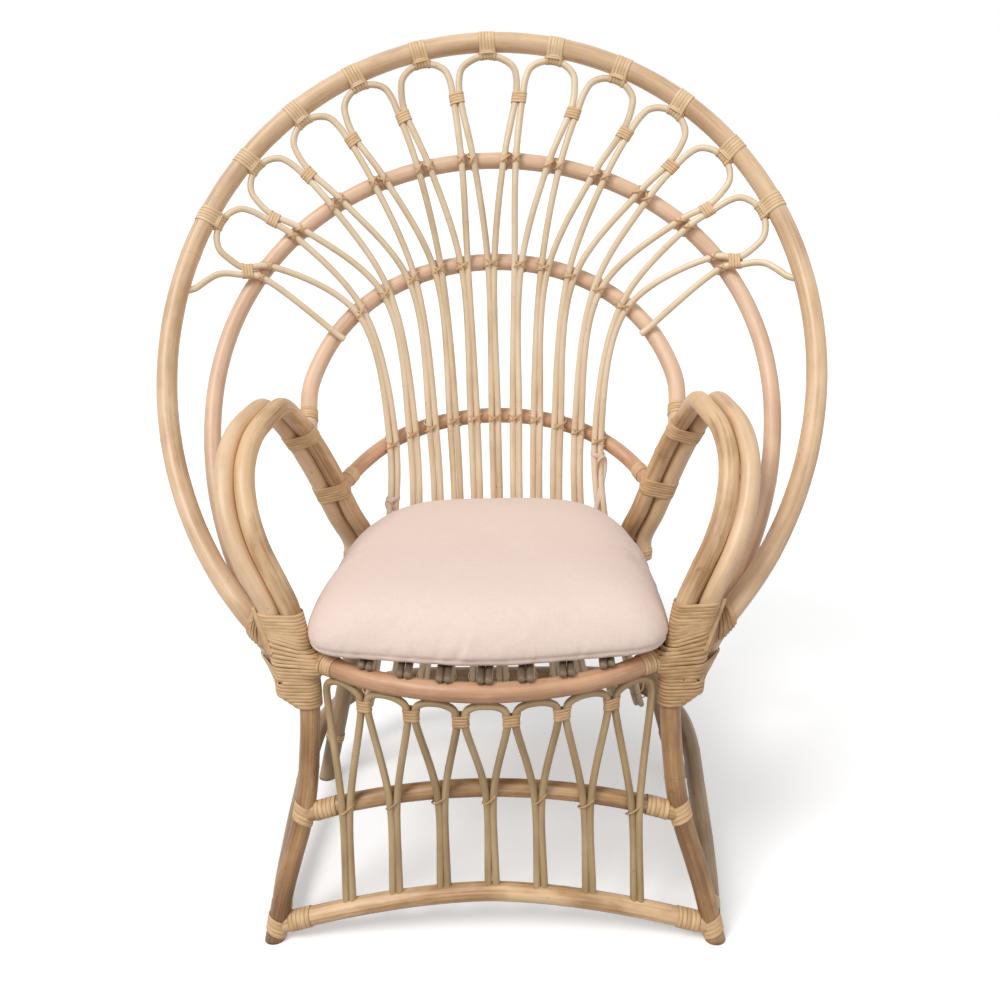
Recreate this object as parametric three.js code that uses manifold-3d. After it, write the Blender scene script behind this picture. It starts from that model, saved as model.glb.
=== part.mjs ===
// Peacock chair: bent rattan poles, a fan of looped canes, wound strand bindings and a seat cushion.
// Millimetres, +Z up. The chair faces -Y, and left and right are as seen from in front of it.
import * as THREE from "three";
import { mergeVertices } from "three/addons/utils/BufferGeometryUtils.js";
import Module from "manifold-3d";

const wasm = await Module();
wasm.setup();

// Gap between pieces that touch on the real chair, and between a cane and the poles it crosses.
const gap = 0.3;
const caneGap = 0.6;

// Diameters of the poles and of the thin canes.
const outerHoopDiameter = 32;
const middleHoopDiameter = 27;
const innerHoopDiameter = 28;
const lowerRailDiameter = 26;
const legDiameter = 30;
const outerArmDiameter = 29;
const seatFrameDiameter = 29;
const midRailDiameter = 27;
const bottomRailDiameter = 29;
const baseRingDiameter = 30;
const rearLegDiameter = 30;
const caneDiameter = 11;

// Seat height is the centre of the seat frame's poles.
const seatHeight = 420;

// Crown of the outer hoop above the seat frame, centre to centre.
const backRise = 835;

// Arches of the back. Each is half an ellipse seen from the front, wider below than above. Its crown,
// its widest place, its drop from there and the height that its bow takes are shares of the back's
// rise. It leans back with height: lean is a slope, and bow is the extra curve.
const outerArch = {
  halfWidth: 506,
  topShare: 1,
  widestShare: 0.462,
  dropShare: 0.532,
  bowShare: 0.941,
  topBack: 323,
  lean: 0.45,
  bow: 204,
};
const middleArch = {
  halfWidth: 444,
  topShare: 0.78,
  widestShare: 0.362,
  dropShare: 0.45,
  bowShare: 0.722,
  topBack: 274,
  lean: 0.33,
  bow: 287,
};
const innerArch = {
  halfWidth: 307,
  topShare: 0.583,
  widestShare: 0.317,
  dropShare: 0.263,
  bowShare: 0.251,
  topBack: 260,
  lean: 0.35,
  bow: 70,
};
const lowerArch = {
  halfWidth: 304,
  topShare: 0.269,
  widestShare: 0.036,
  dropShare: 0.24,
  bowShare: 0.105,
  topBack: 234,
  lean: 0.3,
  bow: 55,
};

// Angle from the crown down to which each arch keeps its ellipse, in degrees, and its spans.
const outerArchEndAngle = 135.5;
const outerArchSpans = 21;
const middleArchEndAngle = 128;
const middleArchSpans = 17;
const innerArchEndAngle = 80;
const innerArchSpans = 8;
const lowerArchEndAngle = 50;
const lowerArchSpans = 6;

// Where the front legs pass the seat frame, from the middle of the chair and forward of its origin.
const junctionOut = 262;
const junctionForward = 249;

// A front leg from the floor to its junction: out, forward and up, as shares of the three above.
const frontLegShares = [
  [1.251, 1.339, 0],
  [1.185, 1.293, 0.18],
  [1.13, 1.241, 0.298],
  [1.074, 1.193, 0.41],
  [1.034, 1.145, 0.526],
  [1.01, 1.08, 0.676],
  [0.998, 1.028, 0.821],
  [1, 1.006, 0.929],
  [1.012, 1, 1],
  [1.035, 0.99, 1.071],
];

// The same pole goes on as the inner arm: out from the junction, back and up, as shares of the
// arm's own sizes.
const armSpread = 85;
const armBack = 138;
const armHeight = 740;
const armShares = [
  [0.224, -1.772, 0.683],
  [0.404, -1.749, 0.736],
  [0.686, -1.632, 0.8],
  [0.902, -1.417, 0.862],
  [0.996, -1.149, 0.923],
  [0.943, -0.806, 0.968],
  [0.771, -0.386, 0.99],
  [0.677, -0.05, 0.99],
  [0.559, 0.455, 0.928],
  [0.371, 0.609, 0.879],
  [0.114, 0.78, 0.795],
  [-0.184, 0.93, 0.686],
];

// The arm's tail stands against the outside of the seat ring's back corner, at this angle round the
// corner in degrees, from this far above the seat frame's centre to this far below it.
const armTailAngle = 38;
const armTailRise = 28;
const armTailDrop = 14;

// Lower ends of the poles that the front junction gathers. Those of the hoops are given from the
// arches down: out, forward and up, as shares of the junction's place and the seat's height.
const outerArmEndDrop = 45;
const outerArmEndHeight = seatHeight - outerArmEndDrop;
const middleHoopEndShares = [
  [1.1756, 0.761, 1.088],
  [1.0611, 0.8353, 0.976],
  [1.0344, 0.8554, 0.917],
];
const outerHoopEndShares = [
  [1.2672, 0.8795, 1.088],
  [1.187, 0.8594, 0.976],
  [1.1641, 0.8574, 0.94],
];

// Heights at which the two inner arches of the back run into the arms, as shares of the arm's.
const innerHoopEndShare = 0.895;
const lowerRailEndShare = 0.75;

// Front seat rail, bowed forward in plan: how far along it, and how much of its bow.
const frontRailBow = 94;
const frontRailShares = [
  [0, 1],
  [0.23, 0.94],
  [0.465, 0.766],
  [0.713, 0.452],
  [0.89, 0.106],
  [1, 0],
];

// How far short of a pole's centre a rail ends that is shaped to fit round it.
const railSetback = 6;

// Lower front rails: height of the ends at the legs, and rise to the middle.
const midRailEndHeight = 193;
const midRailRise = 42;
const midRailCurvePower = 2;
const midRailSetIn = 0;
const bottomRailEndHeight = 24;
const bottomRailRise = 52;
const bottomRailCurvePower = 1.7;
const bottomRailSetIn = 8;
const lowerRailSteps = 6;

// Seat ring in plan: half width, radius of its back corners and its back line.
const seatRingHalfWidth = 228;
const seatRingFrontHalfWidth = 236;
const seatRingCornerRadius = 120;
const seatRingBack = 178;
const seatRingSideShares = [0.4, 0.8, 1];
const cornerSpans = 4;

// Base ring in plan and its slope up towards the back.
const baseRingHalfWidth = 334;
const baseRingCornerRadius = 180;
const baseRingBack = 258;
const baseRingFrontHeight = 23;
const baseRingRise = 97;
const baseRingSideShares = [0.3, 0.6, 0.85, 1];

// Rear legs: how far back they pass the base ring and the seat ring.
const rearLegBack = 100;

// Fan of the back: angle between loops on the outer hoop, in degrees, and the spacing of the pairs
// lower down. On the middle hoop the loops spread with every place from the middle one outwards, and
// so does half the angle between the two legs of one.
const outerLoopAngle = 12.8;
const middleLoopAngle = 9;
const middleLoopSpreadAngle = 0.27;
const middleLegAngle = 3.2;
const middleLegSpreadAngle = 0.28;
const loopsEachSide = 5;
const innerPairSpacing = 45.3;
const lowerPairSpacing = 36.6;
const seatPairSpacing = 36;
const basePairSpacing = 52.4;
const caneTail = 25;

// Loops tie to their neighbours this far in from the outer hoop's centre.
const tieInset = 84;

// Round top of a loop, from its crown to its tie: shares of its half width and of its depth.
const loopTopShares = [
  [0.5, 0.074],
  [0.866, 0.275],
  [0.985, 0.55],
];

// The half loops at the two sides: angle on each hoop, in degrees from the crown, their ends, and
// their bend from the outer hoop to the tie: inward and along the hoop, as shares of the way there.
const halfLoopOuterAngle = 79;
const halfLoopMiddleAngle = 59.6;
const halfLoopInnerOut = 266;
const halfLoopTail = 12;
const halfLoopTieShare = 1.35;
const halfLoopBendShares = [
  [0.26, 0.29],
  [0.42, 0.58],
  [0.585, 0.83],
  [0.75, 0.94],
];

// Apron under the seat.
const apronLoopsEachSide = 3;
const apronLoopSpacing = 70;
const apronTieDrop = 52;
const apronOuterShare = 0.82;
const apronMidSpacing = 69.5;
const apronBottomSpacing = 70;
const apronSink = 6;

// Seat deck of canes in pairs, laid from the front rail to the back of the seat ring on battens.
const deckPairsEachSide = 3;
const deckPairSpacing = 56;
const deckOverhang = 5;
const battenSink = 2;
const battenBackShares = [-0.55, 0.02, 0.55];

// Strand of the bindings: a flat peel of rattan.
const strandWidth = 5.3;
const strandThickness = 1.5;
const strandSlack = 0.4;

// A strand starts to go round a pole this far below the pole's end.
const windingLeadIn = 9;

// Windings of the front junctions, from a drop below the seat's height up: the lower turns hold all
// four poles, the upper ones two.
const junctionWindingDrop = 66;
const junctionWindingFoot = seatHeight - junctionWindingDrop;
const junctionPitch = 6.5;
const junctionLowerTurns = 10;
const junctionUpperTurns = 12;
const junctionSteps = 8;

// Windings that bind each loop to the outer hoop.
const hoopBindingPitch = 5.9;
const hoopBindingTurns = 5;
const hoopBindingSteps = 8;

// How far along from a binding's middle the poles that it holds are looked up.
const bindingReach = 64;

// Cushion: a thick pad with a round back, wide front corners and a crowned top.
const cushionHalfWidth = 258;
const cushionFront = 322;
const cushionBack = 193;
const cushionThickness = 88;
const cushionOutlineShares = [
  [0, 1],
  [0.35, 0.985],
  [0.59, 0.905],
  [0.755, 0.725],
  [0.875, 0.37],
  [0.94, 0.02],
  [0.972, -0.22],
  [0.995, -0.5],
  [0.99, -0.655],
  [0.965, -0.76],
  [0.87, -0.845],
  [0.7, -0.905],
  [0.4, -0.965],
  [0, -1],
];
const cushionOutlineSteps = 44;
// Each ring of the cushion: how far it is drawn in, as a share of the half width, and how high.
const cushionRingShares = [
  [0.075, 0],
  [0.02, 0.08],
  [0, 0.26],
  [0.006, 0.5],
  [0.035, 0.72],
  [0.11, 0.86],
  [0.28, 0.95],
  [0.6, 0.99],
];

// Sides of the round sections.
const poleSides = 8;
const caneSides = 6;

// How far a cutter, and a foot before it is cut, runs past the floor.
const cutterOverrun = 40;

const degrees = Math.PI / 180;
const up = new THREE.Vector3(0, 0, 1);
const backward = new THREE.Vector3(0, 1, 0);
const forward = new THREE.Vector3(0, -1, 0);
const outward = new THREE.Vector3(1, 0, 0);
const origin = new THREE.Vector3(0, 0, 0);

const point = (x, y, z) => new THREE.Vector3(x, y, z);
const mirrored = (p) => point(-p.x, p.y, p.z);
const offset = (p, direction, distance) => p.clone().addScaledVector(direction, distance);
const directionTo = (from, to) => to.clone().sub(from).normalize();

// The part of a vector that is square to an axis, as a unit vector.
function squareTo(vector, axis) {
  return offset(vector, axis, -vector.dot(axis)).normalize();
}

// All of a symmetric line from its right half, given from the middle outwards.
function bothSides(rightHalf) {
  return [...rightHalf.slice(1).reverse().map(mirrored), ...rightHalf];
}

// A smooth line whose steps are shared evenly between its points, however far apart those are.
class PoleLine extends THREE.CatmullRomCurve3 {
  getUtoTmapping(share) {
    return share;
  }
}

// A pole or cane: its line, its section and the stations where the faceted solid has its rings.
function makePole(points, diameter, sides) {
  const line = new PoleLine(points, false, "centripetal");
  const steps = points.length - 1;
  return { line, steps, sides, radius: diameter / 2, stations: line.getPoints(steps), turn: 0 };
}

// The same pole with a corner of its section facing a direction where its middle station is.
function turnedTowards(pole, direction) {
  const { normals, binormals } = pole.line.computeFrenetFrames(pole.steps, false);
  const middle = pole.steps / 2;
  const turn = Math.atan2(direction.dot(binormals[middle]), direction.dot(normals[middle]));
  return { ...pole, turn };
}

function sectionOf(radius, sides, turn) {
  const corners = [];
  for (let i = 0; i < sides; i++) {
    const angle = turn + (2 * Math.PI * i) / sides;
    corners.push(new THREE.Vector2(radius * Math.cos(angle), radius * Math.sin(angle)));
  }
  return new THREE.Shape(corners);
}

function poleGeometry({ line, steps, sides, radius, turn }, extraRadius = 0) {
  const section = sectionOf(radius + extraRadius, sides, turn);
  return new THREE.ExtrudeGeometry(section, { steps, extrudePath: line });
}

function meshOf(vertices, faces) {
  const geometry = new THREE.BufferGeometry().setFromPoints(vertices);
  geometry.setIndex(faces);
  geometry.computeVertexNormals();
  return geometry;
}

// The mirror image of a geometry, left for right.
function mirrorGeometry(geometry) {
  const image = geometry.index ? geometry.toNonIndexed() : geometry.clone();
  image.scale(-1, 1, 1);
  const position = image.attributes.position;
  for (let i = 0; i < position.count; i += 3) {
    const second = new THREE.Vector3().fromBufferAttribute(position, i + 1);
    const third = new THREE.Vector3().fromBufferAttribute(position, i + 2);
    position.setXYZ(i + 1, third.x, third.y, third.z);
    position.setXYZ(i + 2, second.x, second.y, second.z);
  }
  return image;
}

// Booleans: a geometry as a solid, and a solid as a geometry.
function solidOf(geometry) {
  const bare = geometry.clone();
  bare.deleteAttribute("normal");
  bare.deleteAttribute("uv");
  const merged = mergeVertices(bare);
  return new wasm.Manifold(
    new wasm.Mesh({
      numProp: 3,
      vertProperties: merged.attributes.position.array,
      triVerts: new Uint32Array(merged.index.array),
    }),
  );
}

function geometryOf(solid) {
  const mesh = solid.getMesh();
  const geometry = new THREE.BufferGeometry();
  geometry.setAttribute("position", new THREE.BufferAttribute(mesh.vertProperties, 3));
  geometry.setIndex(new THREE.BufferAttribute(mesh.triVerts, 1));
  geometry.computeVertexNormals();
  return geometry;
}

function cut(geometry, ...cutters) {
  let solid = solidOf(geometry);
  for (const cutter of cutters) {
    solid = solid.subtract(solidOf(cutter));
  }
  return geometryOf(solid);
}

// A block under the floor, for cutting a leg's foot flat.
function floorCutter() {
  const side = 2 * (outerArch.halfWidth + cutterOverrun);
  const block = new THREE.BoxGeometry(side, side, cutterOverrun);
  return block.translate(0, 0, -cutterOverrun / 2);
}

// Arches of the back.
function archPoint(arch, fromCrown) {
  const angle = fromCrown * degrees;
  const share = Math.cos(angle);
  const reachShare = share > 0 ? arch.topShare - arch.widestShare : arch.dropShare;
  const heightShare = arch.widestShare + reachShare * share;
  const belowShare = arch.topShare - heightShare;
  const bow = arch.bow * (belowShare / arch.bowShare) ** 2;
  return point(
    arch.halfWidth * Math.sin(angle),
    arch.topBack - arch.lean * belowShare * backRise - bow,
    seatHeight + heightShare * backRise,
  );
}

function makeHoop(arch, reach, spans, ends, diameter) {
  const half = [];
  for (let i = 0; i <= spans; i++) {
    half.push(archPoint(arch, (reach * i) / spans));
  }
  return makePole(bothSides([...half, ...ends]), diameter, poleSides);
}

// Where a run of stations first crosses a plane that lies a distance along an axis from an origin,
// with the run's own direction there.
function crossing(stations, from, axis, distance) {
  const heightOf = (p) => p.clone().sub(from).dot(axis) - distance;
  for (let i = 0; i < stations.length - 1; i++) {
    const [first, second] = [stations[i], stations[i + 1]];
    const [a, b] = [heightOf(first), heightOf(second)];
    if (a * b <= 0 && a !== b) {
      return { point: first.clone().lerp(second, a / (a - b)), along: directionTo(first, second) };
    }
  }
  return null;
}

// The right half of a symmetric pole, from its middle station to its end.
const rightHalf = ({ stations }) => stations.slice((stations.length - 1) / 2);
const atHeight = (stations, height) => crossing(stations, origin, up, height);
const atWidth = (pole, out) => crossing(rightHalf(pole), origin, outward, out);
const atBack = (pole, back) => crossing(rightHalf(pole), origin, backward, back);

// The centre of a round pole that lies against another, on the side that faces towards.
function against(hit, direction, pole, towards, diameter = caneDiameter) {
  const normal = hit.along.clone().cross(direction).normalize();
  if (normal.dot(towards) < 0) {
    normal.negate();
  }
  const distance = pole.radius + diameter / 2 + caneGap;
  return { centre: offset(hit.point, normal, distance), normal };
}

// Neighbour loops tie half a place away from each.
const halfPlace = 1 / 2;

// Half the distance between the centres of two canes that lie side by side.
const pairHalf = (caneDiameter + gap) / 2;

// A point given as shares of the junction's place and the seat's height.
const aboutJunction = ([out, front, height]) =>
  point(out * junctionOut, -front * junctionForward, height * seatHeight);

// Front legs with the inner arms: one pole on each side.
const legPoints = frontLegShares.map(aboutJunction);
const armPoints = armShares.map(([out, back, height]) =>
  point(junctionOut + out * armSpread, back * armBack, height * armHeight),
);

// Tail of the arm, against the seat ring's back corner.
const seatRingCorner = point(
  seatRingHalfWidth - seatRingCornerRadius,
  seatRingBack - seatRingCornerRadius,
  seatHeight,
);
const tailReach = seatRingCornerRadius + (seatFrameDiameter + legDiameter) / 2 + gap;
const armTailAt = (height) =>
  point(
    seatRingCorner.x + tailReach * Math.cos(armTailAngle * degrees),
    seatRingCorner.y + tailReach * Math.sin(armTailAngle * degrees),
    height,
  );
const armTail = [armTailAt(seatHeight + armTailRise), armTailAt(seatHeight - armTailDrop)];
// The line starts under the floor, where the foot is cut flat.
const legStart = offset(legPoints[0], directionTo(legPoints[1], legPoints[0]), cutterOverrun / 2);
const legArm = makePole([legStart, ...legPoints, ...armPoints, ...armTail], legDiameter, poleSides);

// Outer arm poles run beside the inner ones, on the outward side, from inside the junction.
const armSpacing = (legDiameter + outerArmDiameter) / 2 + gap;
const firstBeside = legArm.stations.findIndex((p) => p.z > outerArmEndHeight);
const outerArmPath = [
  atHeight(legArm.stations, outerArmEndHeight).point,
  ...legArm.stations.slice(firstBeside),
];
const outerArmPoints = outerArmPath.map((p, i) => {
  const before = outerArmPath[Math.max(i - 1, 0)];
  const after = outerArmPath[Math.min(i + 1, outerArmPath.length - 1)];
  return offset(p, squareTo(outward, directionTo(before, after)), armSpacing);
});
const outerArm = makePole(outerArmPoints, outerArmDiameter, poleSides);

// The hoops of the back.
const outerHoop = makeHoop(
  outerArch,
  outerArchEndAngle,
  outerArchSpans,
  outerHoopEndShares.map(aboutJunction),
  outerHoopDiameter,
);
const middleHoop = makeHoop(
  middleArch,
  middleArchEndAngle,
  middleArchSpans,
  middleHoopEndShares.map(aboutJunction),
  middleHoopDiameter,
);

// The inner hoop and the lower rail run into the arms' rear stretches, and are shaped to fit them.
const armRear = [...legArm.stations].reverse();
const onArm = (heightShare) => atHeight(armRear, heightShare * armHeight).point;
const innerHoop = makeHoop(
  innerArch,
  innerArchEndAngle,
  innerArchSpans,
  [onArm(innerHoopEndShare)],
  innerHoopDiameter,
);
const lowerRail = makeHoop(
  lowerArch,
  lowerArchEndAngle,
  lowerArchSpans,
  [onArm(lowerRailEndShare)],
  lowerRailDiameter,
);

// Front seat rail between the junctions.
const legAt = (height) => atHeight(legArm.stations, height).point;
const frontRailEnd = offset(legAt(seatHeight), outward, -railSetback);
const frontSeatRail = makePole(
  bothSides(
    frontRailShares.map(([along, bow]) =>
      point(along * frontRailEnd.x, frontRailEnd.y - bow * frontRailBow, seatHeight),
    ),
  ),
  seatFrameDiameter,
  poleSides,
);

// A lower front rail between the legs, arched in front view.
function makeFrontRail(endHeight, rise, power, setIn, diameter) {
  const end = offset(legAt(endHeight), outward, -railSetback);
  const half = [];
  for (let i = 0; i <= lowerRailSteps; i++) {
    const share = i / lowerRailSteps;
    const arch = 1 - share ** power;
    half.push(point(end.x * share, end.y + setIn * arch, endHeight + rise * arch));
  }
  return makePole(bothSides(half), diameter, poleSides);
}
const frontMidRail = makeFrontRail(
  midRailEndHeight,
  midRailRise,
  midRailCurvePower,
  midRailSetIn,
  midRailDiameter,
);
const frontBottomRail = makeFrontRail(
  bottomRailEndHeight,
  bottomRailRise,
  bottomRailCurvePower,
  bottomRailSetIn,
  bottomRailDiameter,
);

// Right half of a ring in plan, from the middle of its back round its corner to its front end.
function ringHalf(halfWidth, cornerRadius, back, sidePoints, heightAt) {
  const half = [point(0, back, 0), point((halfWidth - cornerRadius) / 2, back, 0)];
  for (let i = 0; i <= cornerSpans; i++) {
    const angle = 90 * degrees * (1 - i / cornerSpans);
    half.push(
      point(
        halfWidth - cornerRadius * (1 - Math.cos(angle)),
        back - cornerRadius * (1 - Math.sin(angle)),
        0,
      ),
    );
  }
  return [...half, ...sidePoints].map((p) => p.setZ(heightAt(p)));
}

// Seat ring: its front ends meet the back of the front seat rail.
const railAtRingEnd = atWidth(frontSeatRail, seatRingFrontHalfWidth).point;
const ringFrontEnd = railAtRingEnd.y + railSetback;
const seatRing = makePole(
  bothSides(
    ringHalf(
      seatRingHalfWidth,
      seatRingCornerRadius,
      seatRingBack,
      seatRingSideShares.map((share) =>
        point(
          seatRingHalfWidth + share ** 2 * (seatRingFrontHalfWidth - seatRingHalfWidth),
          seatRingCorner.y + share * (ringFrontEnd - seatRingCorner.y),
          0,
        ),
      ),
      () => seatHeight,
    ),
  ),
  seatFrameDiameter,
  poleSides,
);

// Base ring: its front ends meet the backs of the front legs, and it rises towards the back.
const footAtBaseRing = legAt(baseRingFrontHeight);
const baseRingFrontEnd = footAtBaseRing.y + railSetback;
const baseRingSlope = baseRingRise / (baseRingBack - baseRingFrontEnd);
const baseRingCornerY = baseRingBack - baseRingCornerRadius;
const baseRing = makePole(
  bothSides(
    ringHalf(
      baseRingHalfWidth,
      baseRingCornerRadius,
      baseRingBack,
      baseRingSideShares.map((share) =>
        point(
          baseRingHalfWidth + share ** 3 * (footAtBaseRing.x - baseRingHalfWidth),
          baseRingCornerY + share * (baseRingFrontEnd - baseRingCornerY),
          0,
        ),
      ),
      (p) => baseRingFrontHeight + baseRingSlope * (p.y - baseRingFrontEnd),
    ),
  ),
  baseRingDiameter,
  poleSides,
);

// Rear legs: straight from under the seat ring, down the inside of the base ring, to the floor.
const rearLegTop = atBack(seatRing, rearLegBack).point;
const baseRingHit = atBack(baseRing, rearLegBack);
const rearLegPass = against(
  baseRingHit,
  directionTo(rearLegTop, baseRingHit.point),
  baseRing,
  outward.clone().negate(),
  rearLegDiameter,
).centre;
const rearLegDirection = directionTo(rearLegTop, rearLegPass);
const rearLegFoot = offset(
  rearLegPass,
  rearLegDirection,
  (rearLegPass.z + cutterOverrun / 2) / -rearLegDirection.z,
);
const rearLegSetback = offset(rearLegTop, rearLegDirection, railSetback);
const rearLeg = makePole([rearLegSetback, rearLegPass, rearLegFoot], rearLegDiameter, poleSides);

// Back fan. All places are found on the right half, and the left half mirrors them.
const outerHitAt = (place) =>
  atWidth(outerHoop, outerArch.halfWidth * Math.sin(place * outerLoopAngle * degrees));
const middleHitAt = (angle) =>
  atWidth(middleHoop, middleArch.halfWidth * Math.sin(angle * degrees));

// Local frame of the fan where it meets the outer hoop: along the hoop, inward and to the front.
function fanFrame(place, target) {
  const hit = outerHitAt(place);
  const inward = squareTo(directionTo(hit.point, target), hit.along);
  return { centre: hit.point, along: hit.along, inward, front: inward.clone().cross(hit.along) };
}

const middleAngleOf = (place) => place * (middleLoopAngle + middleLoopSpreadAngle * place);

function fanTarget(place) {
  const hit = middleHitAt(middleAngleOf(place));
  return against(hit, squareTo(up, hit.along), middleHoop, forward).centre;
}

// Where the leg of a loop passes its neighbour's at their tie. Side is 1 for the outward leg.
function tieLeg(place, side, apartShare = 1) {
  const tiePlace = place + side * halfPlace;
  if (tiePlace < 0) {
    return mirrored(tieLeg(-place, -side));
  }
  const frame = fanFrame(tiePlace, fanTarget(tiePlace));
  const tie = offset(frame.centre, frame.inward, tieInset);
  return offset(tie, frame.along, -side * pairHalf * apartShare);
}

// Crown of a loop just under the outer hoop, and the points from there to its tie.
function loopTop(frame, tie) {
  const crown = offset(frame.centre, frame.inward, outerHoop.radius + caneDiameter / 2 + gap);
  const span = tie.clone().sub(crown);
  const width = span.dot(frame.along);
  const depth = span.dot(frame.inward);
  const lift = span.dot(frame.front);
  const bend = loopTopShares.map(([out, inShare]) =>
    offset(
      offset(offset(crown, frame.along, out * width), frame.inward, inShare * depth),
      frame.front,
      inShare * lift,
    ),
  );
  return { crown, bend };
}

// The pair of canes of one loop below the middle hoop, from the inner hoop down to the base ring.
function pairBelow(place) {
  const hits = [
    { hit: atWidth(innerHoop, place * innerPairSpacing), pole: innerHoop, towards: forward },
    { hit: atWidth(lowerRail, place * lowerPairSpacing), pole: lowerRail, towards: forward },
    { hit: atWidth(seatRing, place * seatPairSpacing), pole: seatRing, towards: backward },
    { hit: atWidth(baseRing, place * basePairSpacing), pole: baseRing, towards: forward },
  ];
  const above = fanTarget(place);
  const pair = hits.map(({ hit, pole, towards }, i) => {
    const from = i === 0 ? above : hits[i - 1].hit.point;
    const to = hits[Math.min(i + 1, hits.length - 1)].hit.point;
    const direction = directionTo(from, to);
    const { centre, normal } = against(hit, direction, pole, towards);
    const side = squareTo(outward, direction).projectOnPlane(normal).normalize();
    return { centre, side, direction };
  });
  const last = pair[pair.length - 1];
  pair.push({ ...last, centre: offset(last.centre, last.direction, caneTail) });
  return pair;
}

// One leg of a back loop from its crown down to its end, without the crown itself.
function backLoopLeg(place, side) {
  if (place === 0 && side < 0) {
    return backLoopLeg(place, 1).map(mirrored);
  }
  const frame = fanFrame(place, fanTarget(place));
  const tie = tieLeg(place, side);
  const { bend } = loopTop(frame, tie);
  const pair = pairBelow(place);
  const legAngle = middleLegAngle + middleLegSpreadAngle * place;
  const middleHit = middleHitAt(middleAngleOf(place) + side * legAngle);
  const middle = against(middleHit, directionTo(tie, pair[0].centre), middleHoop, forward).centre;
  const below = pair.map((p) => offset(p.centre, p.side, side * pairHalf));
  return [...bend, tie, middle, ...below];
}

function makeBackLoop(place) {
  const frame = fanFrame(place, fanTarget(place));
  const { crown } = loopTop(frame, tieLeg(place, 1));
  const left = backLoopLeg(place, -1);
  const right = backLoopLeg(place, 1);
  const pole = makePole([...left.reverse(), crown, ...right], caneDiameter, caneSides);
  return { pole, frame };
}

// Half loop at the side: from inside the outer hoop, past the outermost tie, to the inner hoop.
function makeHalfLoop() {
  const outerPlace = halfLoopOuterAngle / outerLoopAngle;
  const { centre, along, inward, front } = fanFrame(outerPlace, fanTarget(loopsEachSide + halfPlace));
  const tie = tieLeg(loopsEachSide + 1, -1, halfLoopTieShare);
  const span = tie.clone().sub(centre);
  const bend = halfLoopBendShares.map(([inShare, alongShare]) => {
    const inwards = offset(centre, inward, inShare * span.dot(inward));
    const lifted = offset(inwards, front, inShare * span.dot(front));
    return offset(lifted, along, alongShare * span.dot(along));
  });
  const innerHit = atWidth(innerHoop, halfLoopInnerOut);
  const middleHit = middleHitAt(halfLoopMiddleAngle);
  const fall = directionTo(middleHit.point, innerHit.point);
  const middle = against(middleHit, fall, middleHoop, forward).centre;
  const inner = against(innerHit, fall, innerHoop, forward).centre;
  const end = offset(inner, directionTo(middle, inner), halfLoopTail);
  return makePole([centre, ...bend, tie, middle, inner, end], caneDiameter, caneSides);
}

// Apron loop: crown under the front seat rail, ties to its neighbours, then a pair in front of the
// middle rail, down to the top of the bottom rail.
function apronLeg(place, side) {
  const hit = atWidth(frontSeatRail, place * apronLoopSpacing);
  const down = up.clone().negate();
  const crown = offset(hit.point, down, frontSeatRail.radius + caneDiameter / 2 + gap);
  const belowRail = (out) => offset(atWidth(frontSeatRail, out).point, down, apronTieDrop);
  const inner = belowRail(Math.abs(place - halfPlace) * apronLoopSpacing);
  if (place === 0) {
    inner.x = -inner.x;
  }
  const outerShare = place < apronLoopsEachSide ? 1 : apronOuterShare;
  const outer = belowRail((place + outerShare * halfPlace) * apronLoopSpacing);
  const across = directionTo(inner, outer);
  const tie = offset(side > 0 ? outer : inner, across, -side * pairHalf);
  const span = tie.clone().sub(crown);
  const bend = loopTopShares.map(([out, inShare]) =>
    point(crown.x + out * span.x, crown.y + out * span.y, crown.z + inShare * span.z),
  );
  const middleHit = atWidth(frontMidRail, place * apronMidSpacing);
  const bottomHit = atWidth(frontBottomRail, place * apronBottomSpacing);
  const fall = directionTo(middleHit.point, bottomHit.point);
  const middle = against(middleHit, fall, frontMidRail, forward).centre;
  const bottom = offset(bottomHit.point, squareTo(up, bottomHit.along), frontBottomRail.radius);
  const end = offset(bottom, directionTo(middle, bottom), apronSink);
  const beside = squareTo(outward, fall);
  const below = [middle, bottom, end].map((p) => offset(p, beside, side * pairHalf));
  return { crown, points: [...bend, tie, ...below] };
}

function makeApronLoop(place) {
  const right = apronLeg(place, 1);
  const left = place === 0 ? right.points.map(mirrored) : apronLeg(place, -1).points;
  const pole = makePole([...left.reverse(), right.crown, ...right.points], caneDiameter, caneSides);
  return turnedTowards(pole, up);
}

// Seat deck: canes from front to back in pairs, fused to the battens under them.
const deckHeight = seatHeight + (seatFrameDiameter + caneDiameter) / 2 + gap;

function makeDeck() {
  const pieces = [];
  for (let i = -deckPairsEachSide; i <= deckPairsEachSide; i++) {
    for (const side of [-1, 1]) {
      const x = i * deckPairSpacing + side * pairHalf;
      const front = atWidth(frontSeatRail, Math.abs(x)).point.y - deckOverhang;
      const back = atWidth(seatRing, Math.abs(x)).point.y + deckOverhang;
      const ends = [point(x, front, deckHeight), point(x, back, deckHeight)];
      pieces.push(makePole(ends, caneDiameter, caneSides));
    }
  }
  const battenHeight = deckHeight - caneDiameter + battenSink;
  for (const share of battenBackShares) {
    const y = share * (share < 0 ? -ringFrontEnd : seatRingCorner.y);
    const end = point(atBack(seatRing, y).point.x - seatFrameDiameter / 2 - caneGap, y, battenHeight);
    pieces.push(makePole([mirrored(end), end], caneDiameter, caneSides));
  }
  let deck = solidOf(poleGeometry(pieces[0]));
  for (const piece of pieces.slice(1)) {
    deck = deck.add(solidOf(poleGeometry(piece)));
  }
  return geometryOf(deck);
}

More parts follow.
